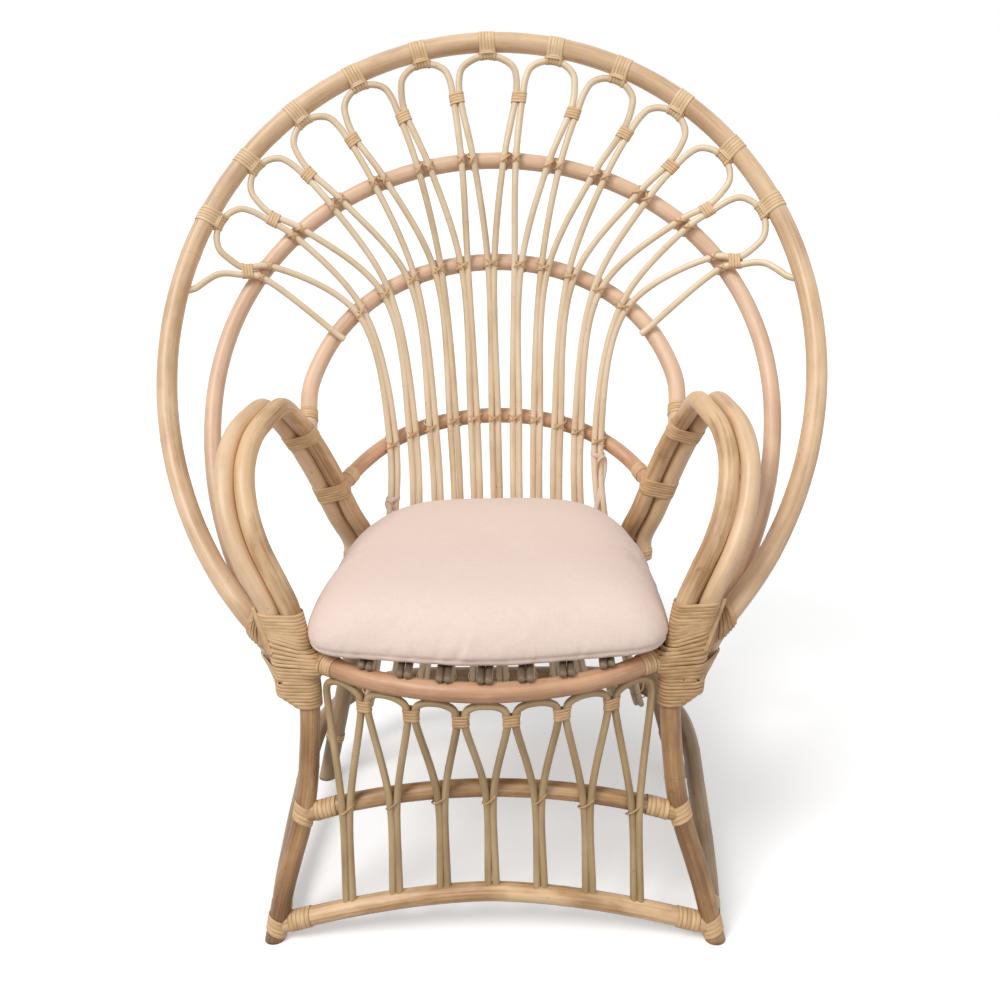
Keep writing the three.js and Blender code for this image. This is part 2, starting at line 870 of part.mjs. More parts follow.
// Bindings. A strand goes round a bundle of round poles: at every step its corner is where two
// tangent lines of the bundle's outline meet, and it climbs steadily along the axis.
function tangentCorner(circles, clearance, angle, step) {
  const reach = (a) =>
    clearance + Math.max(...circles.map((c) => c.u * Math.cos(a) + c.v * Math.sin(a) + c.radius));
  const a = reach(angle);
  const b = reach(angle + step);
  return {
    u: (a * Math.sin(angle + step) - b * Math.sin(angle)) / Math.sin(step),
    v: (b * Math.cos(angle) - a * Math.cos(angle + step)) / Math.sin(step),
  };
}

function makeWinding({ turns, steps, pitch, start, frame, circlesAt, startAngle }) {
  const stepAngle = (2 * Math.PI) / steps;
  const vertices = [];
  for (let k = 0; k <= turns * steps; k++) {
    const along = start + (pitch * k) / steps;
    const circles = circlesAt(along, Math.floor(k / steps));
    const angle = startAngle + k * stepAngle;
    const inner = tangentCorner(circles, strandSlack, angle, stepAngle);
    const outer = tangentCorner(circles, strandSlack + strandThickness, angle, stepAngle);
    for (const [corner, edge] of [
      [inner, -1],
      [inner, 1],
      [outer, 1],
      [outer, -1],
    ]) {
      const p = offset(frame.origin, frame.axis, along + (edge * strandWidth) / 2);
      vertices.push(offset(offset(p, frame.u, corner.u), frame.v, corner.v));
    }
  }
  const faces = [];
  const stations = turns * steps;
  for (let k = 0; k < stations; k++) {
    for (let side = 0; side < 4; side++) {
      const a = 4 * k + side;
      const b = 4 * k + ((side + 1) % 4);
      faces.push(a, b, b + 4, a, b + 4, a + 4);
    }
  }
  const last = 4 * stations;
  faces.push(0, 2, 1, 0, 3, 2, last, last + 1, last + 2, last, last + 2, last + 3);
  return { geometry: meshOf(vertices, faces), selfGap: leastSelfGap(vertices, 4 * steps) };
}

// Least distance between points of the strand that are half a turn or more apart along it.
function leastSelfGap(vertices, perTurn) {
  let least = Infinity;
  for (let i = 0; i < vertices.length; i++) {
    for (let j = i + perTurn / 2; j < vertices.length; j++) {
      least = Math.min(least, vertices[i].distanceTo(vertices[j]));
    }
  }
  return least;
}

// Outline circles of round poles where a strand's two edges cross them, square to an axis.
function heldCircles(poles, frame, along) {
  const circles = [];
  for (const edge of [-1, 1]) {
    const level = along + (edge * strandWidth) / 2;
    for (const { stations, radius, from } of poles) {
      if (level + windingLeadIn < from) {
        continue;
      }
      const held = Math.max(level, from);
      const end = { point: stations[stations.length - 1], along: frame.axis };
      const hit = crossing(stations, frame.origin, frame.axis, held) ?? end;
      const lean = Math.abs(hit.along.dot(frame.axis));
      const place = hit.point.clone().sub(frame.origin);
      circles.push({ u: place.dot(frame.u), v: place.dot(frame.v), radius: radius / lean });
    }
  }
  return circles;
}

// The poles that the right junction holds, from the leg outwards, and the frame of its winding.
const fromRightEnd = (pole) => [...pole.stations].reverse();
const junctionPoles = [
  { stations: legArm.stations, radius: legArm.radius },
  { stations: outerArm.stations, radius: outerArm.radius },
  { stations: fromRightEnd(middleHoop), radius: middleHoop.radius },
  { stations: fromRightEnd(outerHoop), radius: outerHoop.radius },
].map((pole) => ({ ...pole, from: pole.stations[0].z }));
const upperPoles = junctionPoles.slice(0, 2);
const junctionFrame = { origin, axis: up, u: outward, v: backward };
const heldAt = (height, isLower) =>
  heldCircles(isLower ? junctionPoles : upperPoles, junctionFrame, height);

function makeJunctionWinding() {
  return makeWinding({
    turns: junctionLowerTurns + junctionUpperTurns,
    steps: junctionSteps,
    pitch: junctionPitch,
    start: junctionWindingFoot,
    frame: junctionFrame,
    startAngle: Math.PI,
    circlesAt: (height, turn) => heldAt(height, turn < junctionLowerTurns),
  });
}

// The space that the junction winding fills, as a cutter for what ends against it.
function makeJunctionSleeve() {
  const levels = Math.ceil((seatHeight + seatFrameDiameter - junctionWindingFoot) / junctionPitch);
  const clearance = strandSlack + strandThickness + 2 * gap;
  const stepAngle = (2 * Math.PI) / junctionSteps;
  const vertices = [];
  for (let level = 0; level <= levels; level++) {
    const height = junctionWindingFoot + level * junctionPitch;
    for (let k = 0; k < junctionSteps; k++) {
      const angle = Math.PI + k * stepAngle;
      const corner = tangentCorner(heldAt(height, true), clearance, angle, stepAngle);
      vertices.push(point(corner.u, corner.v, height));
    }
  }
  const faces = [];
  for (let level = 0; level < levels; level++) {
    for (let k = 0; k < junctionSteps; k++) {
      const a = level * junctionSteps + k;
      const b = level * junctionSteps + ((k + 1) % junctionSteps);
      faces.push(a, b, b + junctionSteps, a, b + junctionSteps, a + junctionSteps);
    }
  }
  const top = levels * junctionSteps;
  for (let k = 1; k < junctionSteps - 1; k++) {
    faces.push(0, k + 1, k, top, top + k, top + k + 1);
  }
  return meshOf(vertices, faces);
}

// Binding of a loop's crown to the outer hoop.
function makeHoopBinding({ pole, frame }) {
  const { centre, along, inward } = frame;
  const held = { origin: centre, axis: along, u: inward, v: along.clone().cross(inward) };
  const near = (stations) => {
    const close = stations.filter((p) => p.distanceTo(centre) < bindingReach);
    return close[0].clone().sub(centre).dot(along) > 0 ? close.reverse() : close;
  };
  const poles = [outerHoop, pole].map(({ stations, radius }) => ({
    stations: near(stations),
    radius,
    from: -Infinity,
  }));
  return makeWinding({
    turns: hoopBindingTurns,
    steps: hoopBindingSteps,
    pitch: hoopBindingPitch,
    start: -(hoopBindingTurns * hoopBindingPitch) / 2,
    frame: held,
    startAngle: Math.PI / hoopBindingSteps,
    circlesAt: (distance) => heldCircles(poles, held, distance),
  });
}

// Cushion: rings of the outline, drawn in at the bottom edge and towards the crown.
function makeCushion() {
  const bottom = deckHeight + caneDiameter / 2 + gap;
  const half = cushionOutlineShares.map(([out, back]) =>
    point(out * cushionHalfWidth, back * (back < 0 ? cushionFront : cushionBack), 0),
  );
  const outline = new THREE.CatmullRomCurve3(
    [...half, ...half.slice(1, -1).reverse().map(mirrored)],
    true,
    "centripetal",
  ).getSpacedPoints(cushionOutlineSteps);
  outline.pop();
  const middle = point(0, (cushionBack - cushionFront) / 2, 0);
  const vertices = [];
  for (const [drawn, height] of cushionRingShares) {
    for (const p of outline) {
      const q = p.clone().lerp(middle, drawn);
      vertices.push(q.setZ(bottom + height * cushionThickness));
    }
  }
  const count = outline.length;
  const rings = cushionRingShares.length;
  vertices.push(middle.clone().setZ(bottom), middle.clone().setZ(bottom + cushionThickness));
  const bottomCentre = vertices.length - 2;
  const topCentre = vertices.length - 1;
  const faces = [];
  for (let i = 0; i < count; i++) {
    const next = (i + 1) % count;
    faces.push(bottomCentre, i, next);
    for (let ring = 0; ring < rings - 1; ring++) {
      const a = ring * count;
      const b = a + count;
      faces.push(a + i, b + next, a + next, a + i, b + i, b + next);
    }
    const top = (rings - 1) * count;
    faces.push(topCentre, top + next, top + i);
  }
  return meshOf(vertices, faces);
}

// Finishes.
const finish = (color, roughness) =>
  new THREE.MeshStandardMaterial({ color, roughness, metalness: 0 });
const goldenPole = finish(0xcdae86, 0.45);
const pinkPole = finish(0xd2aa88, 0.45);
const reddishPole = finish(0xc29a74, 0.45);
const brownPole = finish(0xb48c62, 0.5);
const greyPole = finish(0xa89478, 0.55);
const creamCane = finish(0xdcc29c, 0.5);
const greenCane = finish(0xb8a57d, 0.5);
const darkCane = finish(0x8f7d66, 0.6);
const strawStrand = finish(0xdcbf8a, 0.55);
const pinkCotton = finish(0xe6d3c8, 0.9);

const chair = new THREE.Group();

function addPiece(name, geometry, material) {
  const mesh = new THREE.Mesh(geometry, material);
  mesh.name = name;
  chair.add(mesh);
  return mesh;
}

// A piece on the right and its mirror image on the left.
function addBothSides(rightName, leftName, geometry, material) {
  addPiece(rightName, geometry, material);
  addPiece(leftName, geometry, material).scale.x = -1;
}

const counted = (stem, number) => stem + "_" + String(number).padStart(2, "0");

// Frame poles.
const bothCutters = (geometry) => [geometry, mirrorGeometry(geometry)];
const legCutters = bothCutters(poleGeometry(legArm, gap));
const sleeveCutters = bothCutters(makeJunctionSleeve());
const bottomRailCutter = poleGeometry(frontBottomRail, gap);
addPiece("outer_hoop", poleGeometry(outerHoop), goldenPole);
addPiece("middle_hoop", poleGeometry(middleHoop), pinkPole);
addPiece("inner_hoop", cut(poleGeometry(innerHoop), ...legCutters), pinkPole);
addPiece("lower_back_rail", cut(poleGeometry(lowerRail), ...legCutters), pinkPole);
addBothSides(
  "front_leg_and_arm_right",
  "front_leg_and_arm_left",
  cut(poleGeometry(legArm), floorCutter()),
  brownPole,
);
addBothSides("outer_arm_right", "outer_arm_left", poleGeometry(outerArm), goldenPole);
addPiece("front_seat_rail", cut(poleGeometry(frontSeatRail), ...sleeveCutters), reddishPole);
addPiece(
  "seat_ring",
  cut(poleGeometry(seatRing), poleGeometry(frontSeatRail, gap), ...sleeveCutters),
  greyPole,
);
addPiece("front_mid_rail", cut(poleGeometry(frontMidRail), ...legCutters), brownPole);
addPiece("front_bottom_rail", cut(poleGeometry(frontBottomRail), ...legCutters), brownPole);
addPiece(
  "base_ring",
  cut(poleGeometry(baseRing), bottomRailCutter, ...legCutters),
  greyPole,
);
addBothSides(
  "rear_leg_right",
  "rear_leg_left",
  cut(poleGeometry(rearLeg), poleGeometry(seatRing, gap), floorCutter()),
  greyPole,
);

// Fan of the back and its bindings, numbered from left to right.
const selfGaps = [];
for (let place = 0; place <= loopsEachSide; place++) {
  const loop = makeBackLoop(place);
  const binding = makeHoopBinding(loop);
  selfGaps.push(binding.selfGap);
  const loopGeometry = poleGeometry(loop.pole);
  const rightNumber = loopsEachSide + 1 + place;
  const leftNumber = loopsEachSide + 1 - place;
  if (place === 0) {
    addPiece(counted("back_loop", rightNumber), loopGeometry, creamCane);
    addPiece(counted("hoop_binding", rightNumber), binding.geometry, strawStrand);
  } else {
    addBothSides(
      counted("back_loop", rightNumber),
      counted("back_loop", leftNumber),
      loopGeometry,
      creamCane,
    );
    addBothSides(
      counted("hoop_binding", rightNumber),
      counted("hoop_binding", leftNumber),
      binding.geometry,
      strawStrand,
    );
  }
}
addBothSides(
  "back_half_loop_right",
  "back_half_loop_left",
  cut(poleGeometry(makeHalfLoop()), poleGeometry(outerHoop, gap)),
  creamCane,
);

// Apron: the canes' ends fit the top of the bottom rail.
for (let place = 0; place <= apronLoopsEachSide; place++) {
  const geometry = cut(poleGeometry(makeApronLoop(place)), bottomRailCutter);
  const rightNumber = apronLoopsEachSide + 1 + place;
  if (place === 0) {
    addPiece(counted("apron_loop", rightNumber), geometry, greenCane);
  } else {
    addBothSides(
      counted("apron_loop", rightNumber),
      counted("apron_loop", rightNumber - 2 * place),
      geometry,
      greenCane,
    );
  }
}

// Seat.
addPiece("seat_deck", makeDeck(), darkCane);
addPiece("cushion", makeCushion(), pinkCotton);

// Junctions.
const junction = makeJunctionWinding();
selfGaps.push(junction.selfGap);
addBothSides("junction_winding_right", "junction_winding_left", junction.geometry, strawStrand);
console.log("least gap of a winding to itself: " + Math.min(...selfGaps).toFixed(2) + " mm");

// The part's origin is at the middle of its box, on the floor.
chair.updateMatrixWorld(true);
const box = new THREE.Box3().setFromObject(chair);
const part = new THREE.Group();
chair.position.y = -(box.min.y + box.max.y) / 2;
part.add(chair);

export default part;
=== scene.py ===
"""Looks of a peacock chair: lacquered rattan poles and canes, strand bindings and a cotton cushion.

Metres, +Z up, the chair faces -Y. Every pole and cane is drawn anew round the centre line of its
solid, and the bindings are wound round the poles where those run.
"""

import math
import random

import bmesh
import bpy
import numpy as np
from mathutils import Matrix, Vector, noise


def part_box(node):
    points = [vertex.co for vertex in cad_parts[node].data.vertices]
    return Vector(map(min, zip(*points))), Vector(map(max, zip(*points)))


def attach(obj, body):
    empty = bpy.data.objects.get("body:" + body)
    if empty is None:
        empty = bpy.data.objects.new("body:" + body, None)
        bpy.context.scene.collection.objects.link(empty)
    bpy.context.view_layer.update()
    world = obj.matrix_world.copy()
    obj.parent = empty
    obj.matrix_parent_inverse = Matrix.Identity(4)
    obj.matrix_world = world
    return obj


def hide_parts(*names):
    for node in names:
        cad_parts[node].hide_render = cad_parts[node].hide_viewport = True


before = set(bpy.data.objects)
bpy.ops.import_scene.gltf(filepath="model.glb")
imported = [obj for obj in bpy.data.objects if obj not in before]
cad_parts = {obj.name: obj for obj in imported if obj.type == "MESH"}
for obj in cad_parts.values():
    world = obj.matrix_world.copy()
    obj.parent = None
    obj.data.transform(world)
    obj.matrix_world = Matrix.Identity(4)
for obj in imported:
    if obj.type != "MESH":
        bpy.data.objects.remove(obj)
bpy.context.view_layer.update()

mm = 0.001
up = np.array((0.0, 0.0, 1.0))
outward = np.array((1.0, 0.0, 0.0))
backward = np.array((0.0, 1.0, 0.0))
mirror = np.array((-1.0, 1.0, 1.0))
SIDES = ("left", "right")
FRAME_BODY = "chair_frame"
CUSHION_BODY = "seat_cushion"
LOOP_COUNT = 11
APRON_COUNT = 7
BACK_LOOPS = [f"back_loop_{number:02}" for number in range(1, LOOP_COUNT + 1)]
APRON_LOOPS = [f"apron_loop_{number:02}" for number in range(1, APRON_COUNT + 1)]
SEEDS = (0, 100)
chance = random.Random(11)


def add_object(name, data):
    made = bpy.data.objects.new(name, data)
    bpy.context.scene.collection.objects.link(made)
    return made


# Camera: place, heading to the right, pitch down and roll in degrees, and lens in millimetres.
CAMERA_PLACE = (0.0859, -1.7530, 1.2226)
CAMERA_YAW = -2.348
CAMERA_PITCH = 20.24
CAMERA_ROLL = -1.57
CAMERA_LENS = 42.633
SENSOR_WIDTH = 36.0


def place_camera():
    yaw, pitch, roll = (math.radians(angle) for angle in (CAMERA_YAW, CAMERA_PITCH, CAMERA_ROLL))
    ahead = Vector((math.sin(yaw) * math.cos(pitch), math.cos(yaw) * math.cos(pitch), -math.sin(pitch)))
    level_right = Vector((math.cos(yaw), -math.sin(yaw), 0))
    level_up = level_right.cross(ahead)
    right = math.cos(roll) * level_right + math.sin(roll) * level_up
    top = -math.sin(roll) * level_right + math.cos(roll) * level_up
    data = bpy.data.cameras.new("camera")
    data.sensor_width = SENSOR_WIDTH
    data.lens = CAMERA_LENS
    camera = add_object("camera", data)
    rotation = Matrix((right, top, -ahead)).transposed().to_4x4()
    camera.matrix_world = Matrix.Translation(CAMERA_PLACE) @ rotation
    bpy.context.scene.camera = camera


place_camera()


# Shader maths.
class Socket:
    """A value in a material, which Python expressions can work on."""

    def __init__(self, shader, output):
        self.shader = shader
        self.output = output

    def math(self, operation, *others):
        return self.shader.node("ShaderNodeMath", {"operation": operation}, [self, *others])[0]

    def __add__(self, other):
        return self.math("ADD", other)

    def __sub__(self, other):
        return self.math("SUBTRACT", other)

    def __mul__(self, other):
        return self.math("MULTIPLY", other)

    def __rsub__(self, other):
        return self.shader.node("ShaderNodeMath", {"operation": "SUBTRACT"}, [other, self])[0]

    __radd__ = __add__
    __rmul__ = __mul__

    def step(self, low, high):
        """0 below low, 1 above high, and a soft slope between them."""
        settings = {"interpolation_type": "SMOOTHSTEP"}
        values = {"Value": self, "From Min": low, "From Max": high}
        return self.shader.node("ShaderNodeMapRange", settings, values)[0]


class Shader:
    """The node tree of one material, or of the world."""

    def __init__(self, name, kind="materials"):
        self.material = getattr(bpy.data, kind).new(name)
        self.material.use_nodes = True
        self.tree = self.material.node_tree
        self.surface = self.tree.nodes.get("Principled BSDF")

    def node(self, kind, settings=None, values=()):
        """A node with its settings, then its sockets' values or links. Returns its outputs."""
        made = self.tree.nodes.new(kind)
        for setting, value in (settings or {}).items():
            if setting == "stops":
                self.set_stops(made.color_ramp, value)
            else:
                setattr(made, setting, value)
        pairs = values.items() if isinstance(values, dict) else enumerate(values)
        for key, value in pairs:
            self.connect(made.inputs[key], value)
        return [Socket(self, output) for output in made.outputs if output.enabled]

    @staticmethod
    def set_stops(ramp, stops):
        while len(ramp.elements) < len(stops):
            ramp.elements.new(1)
        for element, (place, shade) in zip(ramp.elements, stops):
            element.position = place
            element.color = shade

    def connect(self, socket, value):
        if isinstance(value, Socket):
            self.tree.links.new(value.output, socket)
        else:
            socket.default_value = value

    def vector(self, name):
        """A vector kept at the corners of the mesh."""
        return self.node("ShaderNodeAttribute", {"attribute_name": name})[1]

    def number(self, name):
        """A number kept at the corners of the mesh."""
        return self.node("ShaderNodeAttribute", {"attribute_name": name})[2]

    def noise(self, vector, scales, detail, roughness):
        """Noise over a vector, with a scale for each of its three directions."""
        placed = self.node("ShaderNodeVectorMath", {"operation": "MULTIPLY"}, [vector, scales])[0]
        values = {"Vector": placed, "Scale": 1.0, "Detail": detail, "Roughness": roughness}
        return self.node("ShaderNodeTexNoise", {}, values)[0]

    def ramp(self, factor, places, colours):
        """Colours that follow each other at given places of the factor."""
        return self.node("ShaderNodeValToRGB", {"stops": list(zip(places, colours))}, [factor])[0]

    def mix(self, factor, first, second):
        return self.node("ShaderNodeMix", {"data_type": "RGBA"}, {0: factor, 6: first, 7: second})[0]

    def seen(self):
        """1 where the camera looks, straight or by way of gloss or glass, and 0 for other light."""
        rays = self.node("ShaderNodeLightPath")
        return rays[0] + rays[3] + rays[6]

    def bump(self, height, strength, distance):
        values = {"Height": height, "Strength": strength, "Distance": distance}
        return self.node("ShaderNodeBump", {}, values)[0]

    def finish(self, **inputs):
        for key, value in inputs.items():
            self.connect(self.surface.inputs[key.replace("_", " ")], value)
        return self.material


def colour(red, green, blue):
    """A colour as it looks on a screen, from 0 to 255, in the shader's linear values."""
    shares = (channel / 255 for channel in (red, green, blue))
    return (*(((s + 0.055) / 1.055) ** 2.4 for s in shares), 1.0)


# Finishes. Each pattern has its scales across and along the fibres, its detail and its roughness.
POLE_STREAKS = ((260.0, 260.0, 5.0), 3.0, 0.6)
POLE_FIBRES = ((1400.0, 1400.0, 18.0), 2.0, 0.6)
POLE_BLOTCHES = ((24.0, 24.0, 9.0), 3.0, 0.6)
POLE_SPECKS = ((90.0, 90.0, 60.0), 1.0, 0.5)
STRAND_FIBRES = ((900.0, 900.0, 14.0), 3.0, 0.6)
STRAND_STRETCHES = ((60.0, 60.0, 28.0), 2.0, 0.6)
THREADS = (((1500.0, 90.0, 90.0), 2.0, 0.5), ((90.0, 1500.0, 90.0), 2.0, 0.5))
GRAIN_DEPTH = 0.3 * mm
THREAD_DEPTH = 0.4 * mm
# The light, middle and dark colour of each kind of rattan; the grey poles and the dark canes are darkened
# copies that carry painted shade.
POLE_COLOURS = {
    "pole_golden": ((240, 208, 172), (223, 188, 150), (174, 136, 100)),
    "pole_pink": ((240, 206, 176), (224, 187, 156), (172, 132, 102)),
    "pole_reddish": ((228, 184, 148), (208, 162, 126), (158, 112, 80)),
    "pole_brown": ((232, 196, 154), (174, 133, 90), (106, 69, 38)),
    # Painted shade: a darker, greyer copy of the rattan for the poles in the shade under the seat.
    "pole_grey": ((184, 158, 126), (158, 130, 98), (108, 84, 62)),
    "cane_cream": ((244, 225, 198), (231, 208, 175), (188, 158, 122)),
    "cane_green": ((196, 170, 130), (173, 145, 105), (124, 97, 66)),
    # Painted shade: a darker copy of the cane for the deck in the shade under the cushion.
    "cane_dark": ((150, 130, 106), (124, 104, 82), (84, 68, 52)),
}
STRAND_COLOURS = ((244, 220, 186), (224, 188, 143), (160, 117, 76))
COTTON_COLOURS = ((240, 219, 207), (233, 210, 198))
NAIL_COLOUR = (88, 64, 46)


def pole_finish(name, colours):
    """Lacquered rattan: streaks along the fibres, slow blotches, dark rings at the joints."""
    shader = Shader(name)
    colours = [colour(*shade) for shade in colours]
    grain = shader.vector("grain")
    streaks = shader.noise(grain, *POLE_STREAKS)
    fibres = shader.noise(grain, *POLE_FIBRES)
    blotches = shader.noise(grain, *POLE_BLOTCHES).step(0.3, 0.7)
    specks = shader.noise(grain, *POLE_SPECKS).step(0.74, 0.8)
    ring = 1 - shader.number("joint").step(0.0, 1.0)
    # The tone varies at random from pole to pole; on the front legs it also carries painted shade, darker
    # towards the foot.
    shade = streaks.step(0.3, 0.75) * 0.3 + blotches * 0.45 + (shader.number("tone") - 0.5) * 0.7
    base = shader.ramp(shade, (0.0, 0.45, 1.0), colours)
    base = shader.mix(ring * 0.45 + specks * 0.35, base, colours[-1])
    base = shader.mix(fibres.step(0.35, 0.7) * 0.12, base, colours[-1])
    return shader.finish(
        Base_Color=base,
        Roughness=0.36 + streaks * 0.16,
        Coat_Weight=0.1,
        Coat_Roughness=0.35,
        Normal=shader.bump(fibres * 0.4 + streaks * 0.6, 0.2, GRAIN_DEPTH),
    )


def strand_finish():
    """Flat rattan peel: fine long fibres, and a tone that is set for each strand."""
    shader = Shader("strand")
    grain = shader.vector("grain")
    fibres = shader.noise(grain, *STRAND_FIBRES)
    stretches = shader.noise(grain, *STRAND_STRETCHES).step(0.3, 0.7)
    shade = fibres.step(0.3, 0.75) * 0.25 + stretches * 0.25 + shader.number("tone") * 0.75
    return shader.finish(
        Base_Color=shader.ramp(shade, (0.0, 0.5, 1.0), [colour(*shade) for shade in STRAND_COLOURS]),
        Roughness=0.45 + fibres * 0.2,
        Normal=shader.bump(fibres, 0.3, GRAIN_DEPTH),
    )


def cotton_finish():
    """Plain woven cotton: fine threads both ways, with a few thicker ones."""
    shader = Shader("cotton")
    grain = shader.vector("grain")
    warp, weft = (shader.noise(grain, *threads) for threads in THREADS)
    weave = warp * 0.5 + weft * 0.5
    return shader.finish(
        Base_Color=shader.mix(weave.step(0.35, 0.65), *(colour(*shade) for shade in COTTON_COLOURS)),
        Roughness=0.95,
        Sheen_Weight=0.15,
        Normal=shader.bump(weave, 0.25, THREAD_DEPTH),
    )


FINISHES = {name: pole_finish(name, colours) for name, colours in POLE_COLOURS.items()}
FINISHES["strand"] = strand_finish()
FINISHES["cotton"] = cotton_finish()
FINISHES["nail"] = Shader("nail").finish(Base_Color=colour(*NAIL_COLOUR), Roughness=0.7)

# Lines in space.
FINE_STEPS = 24


def unit(vectors):
    return vectors / np.linalg.norm(vectors, axis=-1, keepdims=True)


def square_to(vectors, axis):
    """The part of each vector that is square to an axis, as a unit vector."""
    return unit(vectors - np.outer(vectors @ axis, axis).reshape(vectors.shape))


def middle_of(points):
    """The middle of the box round some points."""
    return (points.min(axis=0) + points.max(axis=0)) / 2


def waves(*columns):
    """Smooth noise from -1 to 1 at each row of three columns. A column may be one number."""
    places = np.stack(np.broadcast_arrays(*columns), axis=-1)
    return np.array([noise.noise(Vector(place)) for place in places])


def lengths_along(points):
    steps = np.linalg.norm(np.diff(points, axis=0), axis=1)
    return np.concatenate(([0.0], np.cumsum(steps)))


def evenly(points, spacing):
    """The same line with points at an even spacing."""
    along = lengths_along(points)
    count = max(2, round(along[-1] / spacing) + 1)
    at = np.linspace(0, along[-1], count)
    return np.stack([np.interp(at, along, points[:, axis]) for axis in range(3)], axis=1)


def smooth_line(controls, spacing, closed=False):
    """Even points on a smooth line through the controls (a centripetal Catmull-Rom curve)."""
    controls = np.asarray(controls, float)
    if closed:
        padded = np.vstack((controls[-1:], controls, controls[:2]))
    else:
        first = 2 * controls[0] - controls[1]
        last = 2 * controls[-1] - controls[-2]
        padded = np.vstack((first, controls, last))
    share = np.linspace(0, 1, FINE_STEPS, endpoint=False)[:, None]
    runs = []
    for p0, p1, p2, p3 in zip(padded, padded[1:], padded[2:], padded[3:]):
        before, here, after = (math.sqrt(np.linalg.norm(b - a)) for a, b in ((p0, p1), (p1, p2), (p2, p3)))
        start = here * ((p1 - p0) / before - (p2 - p0) / (before + here) + (p2 - p1) / here)
        end = here * ((p2 - p1) / here - (p3 - p1) / (here + after) + (p3 - p2) / after)
        cubic = 2 * p1 - 2 * p2 + start + end
        square = -3 * p1 + 3 * p2 - 2 * start - end
        runs.append(((cubic * share + square) * share + start) * share + p1)
    tail = controls[:1] if closed else controls[-1:]
    return evenly(np.vstack((*runs, tail)), spacing)


class Pole:
    """A bent pole or cane: evenly spaced points of its centre line, and its radius."""

    def __init__(self, points, radius):
        self.points = points
        self.radius = radius
        self.along = lengths_along(points)
        self.tangents = unit(np.gradient(points, axis=0))

    def mirrored(self):
        return Pole(self.points * mirror, self.radius)

    def part(self, first, last):
        return Pole(self.points[first:last], self.radius)

    def near(self, point):
        return int(np.argmin(np.linalg.norm(self.points - point, axis=1)))


# Reading the poles' centre lines from the faceted solids.
WELD = 0.001 * mm
MIDDLE_WIDTH = 0.01 * mm
FLAT = 0.99999
ROUND = 0.05 * mm
POLE_SIDES = 8
CANE_SIDES = 6
POLE_SPACING = 6 * mm
CANE_SPACING = 4 * mm
FOOT_BLOCK = 20 * mm
END_SINK = 5 * mm
WHOLE_HOOPS = ("outer_hoop", "middle_hoop")
FITTED_POLES = (
    "inner_hoop",
    "lower_back_rail",
    "front_seat_rail",
    "seat_ring",
    "front_mid_rail",
    "front_bottom_rail",
    "base_ring",
)
SIDE_POLES = ("front_leg_and_arm", "outer_arm", "rear_leg", "back_half_loop")


def open_solid(node):
    """A solid of the frame as one welded mesh."""
    mesh = bmesh.new()
    mesh.from_mesh(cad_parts[node].data)
    bmesh.ops.remove_doubles(mesh, verts=mesh.verts, dist=WELD)
    mesh.normal_update()
    return mesh


def mean_of(corners):
    return np.mean(sorted(tuple(corner.co) for corner in corners), axis=0)


def reaches(corners):
    """How far some corners lie from their mean place, the nearest first."""
    centre = mean_of(corners)
    return sorted(np.linalg.norm(np.array(corner.co) - centre) for corner in corners)


def layers_from(start, keep):
    """Rings of corners, walking away from a start ring."""
    layers = [set(start)]
    seen = set(start)
    while layers[-1]:
        around = {edge.other_vert(corner) for corner in layers[-1] for edge in corner.link_edges}
        layers.append({corner for corner in around - seen if keep(corner)})
        seen |= layers[-1]
    return layers[:-1]


def ring_centres(layers, sides):
    """Centres of the whole rings, and of what is left of the last one where the end is cut."""
    whole = [layers[0]]
    for layer in layers[1:]:
        if len(layer) != sides:
            break
        whole.append(layer)
    rest = set().union(*layers[len(whole) :])
    if rest and len(rest) < sides:
        rest |= whole.pop()
    if rest:
        whole.append(rest)
    return [mean_of(ring) for ring in whole]


def grown(start, belongs):
    """A face and the faces round it that belong to the same flat."""
    flat = {start}
    waiting = [start]
    while waiting:
        for edge in waiting.pop().edges:
            for face in edge.link_faces:
                if face not in flat and belongs(face):
                    flat.add(face)
                    waiting.append(face)
    return flat


def corners_round(flat):
    return {corner for face in flat for corner in face.verts}


def flat_end(corners, sides):
    """The corners of one flat end that is a whole ring."""
    for face in (face for corner in corners for face in corner.link_faces):
        flat = grown(face, lambda other: other.normal.dot(face.normal) > FLAT)
        ring = corners_round(flat)
        if len(ring) == sides and len(flat) == sides - 2:
            reach = reaches(ring)
            if reach[-1] - reach[0] < ROUND:
                return ring
    return None


def low_end(corners, height):
    """The corners of one end that lie below a height and hang together."""
    low = [corner for corner in corners if corner.co.z < height]
    return [corner for layer in layers_from(low[:1], lambda c: c.co.z < height) for corner in layer]


def read_pole(node, start="end", height=0.0):
    """Centre line and radius of a pole. It starts at its middle, at a low end or at a flat end."""
    mesh = open_solid(node)
    sides = CANE_SIDES if "loop" in node else POLE_SIDES
    if start == "middle":
        ring = [corner for corner in mesh.verts if abs(corner.co.x) < MIDDLE_WIDTH]
        layers = layers_from(ring, lambda corner: corner.co.x > 0)
    else:
        first = low_end(mesh.verts, height) if start == "low" else flat_end(mesh.verts, sides)
        layers = layers_from(first, lambda corner: True)
    radius = np.mean(reaches(layers[1]))
    centres = np.array(ring_centres(layers, sides))
    mesh.free()
    if start == "middle":
        centres[0, 0] = 0
        centres = np.vstack((centres[:0:-1] * mirror, centres))
    return centres, radius


def lengthened(centres, at_start, at_end):
    """A line whose cut ends reach a little into what they fit against."""
    centres = centres.copy()
    centres[0] += at_start * unit(centres[0] - centres[1])
    centres[-1] += at_end * unit(centres[-1] - centres[-2])
    return centres


def on_floor(centres, radius):
    """A pole's line whose first point is moved along itself to the floor."""
    centres = centres.copy()
    along = unit(centres[1] - centres[0])
    centres[0] -= along * centres[0][2] / along[2]
    return centres, radius


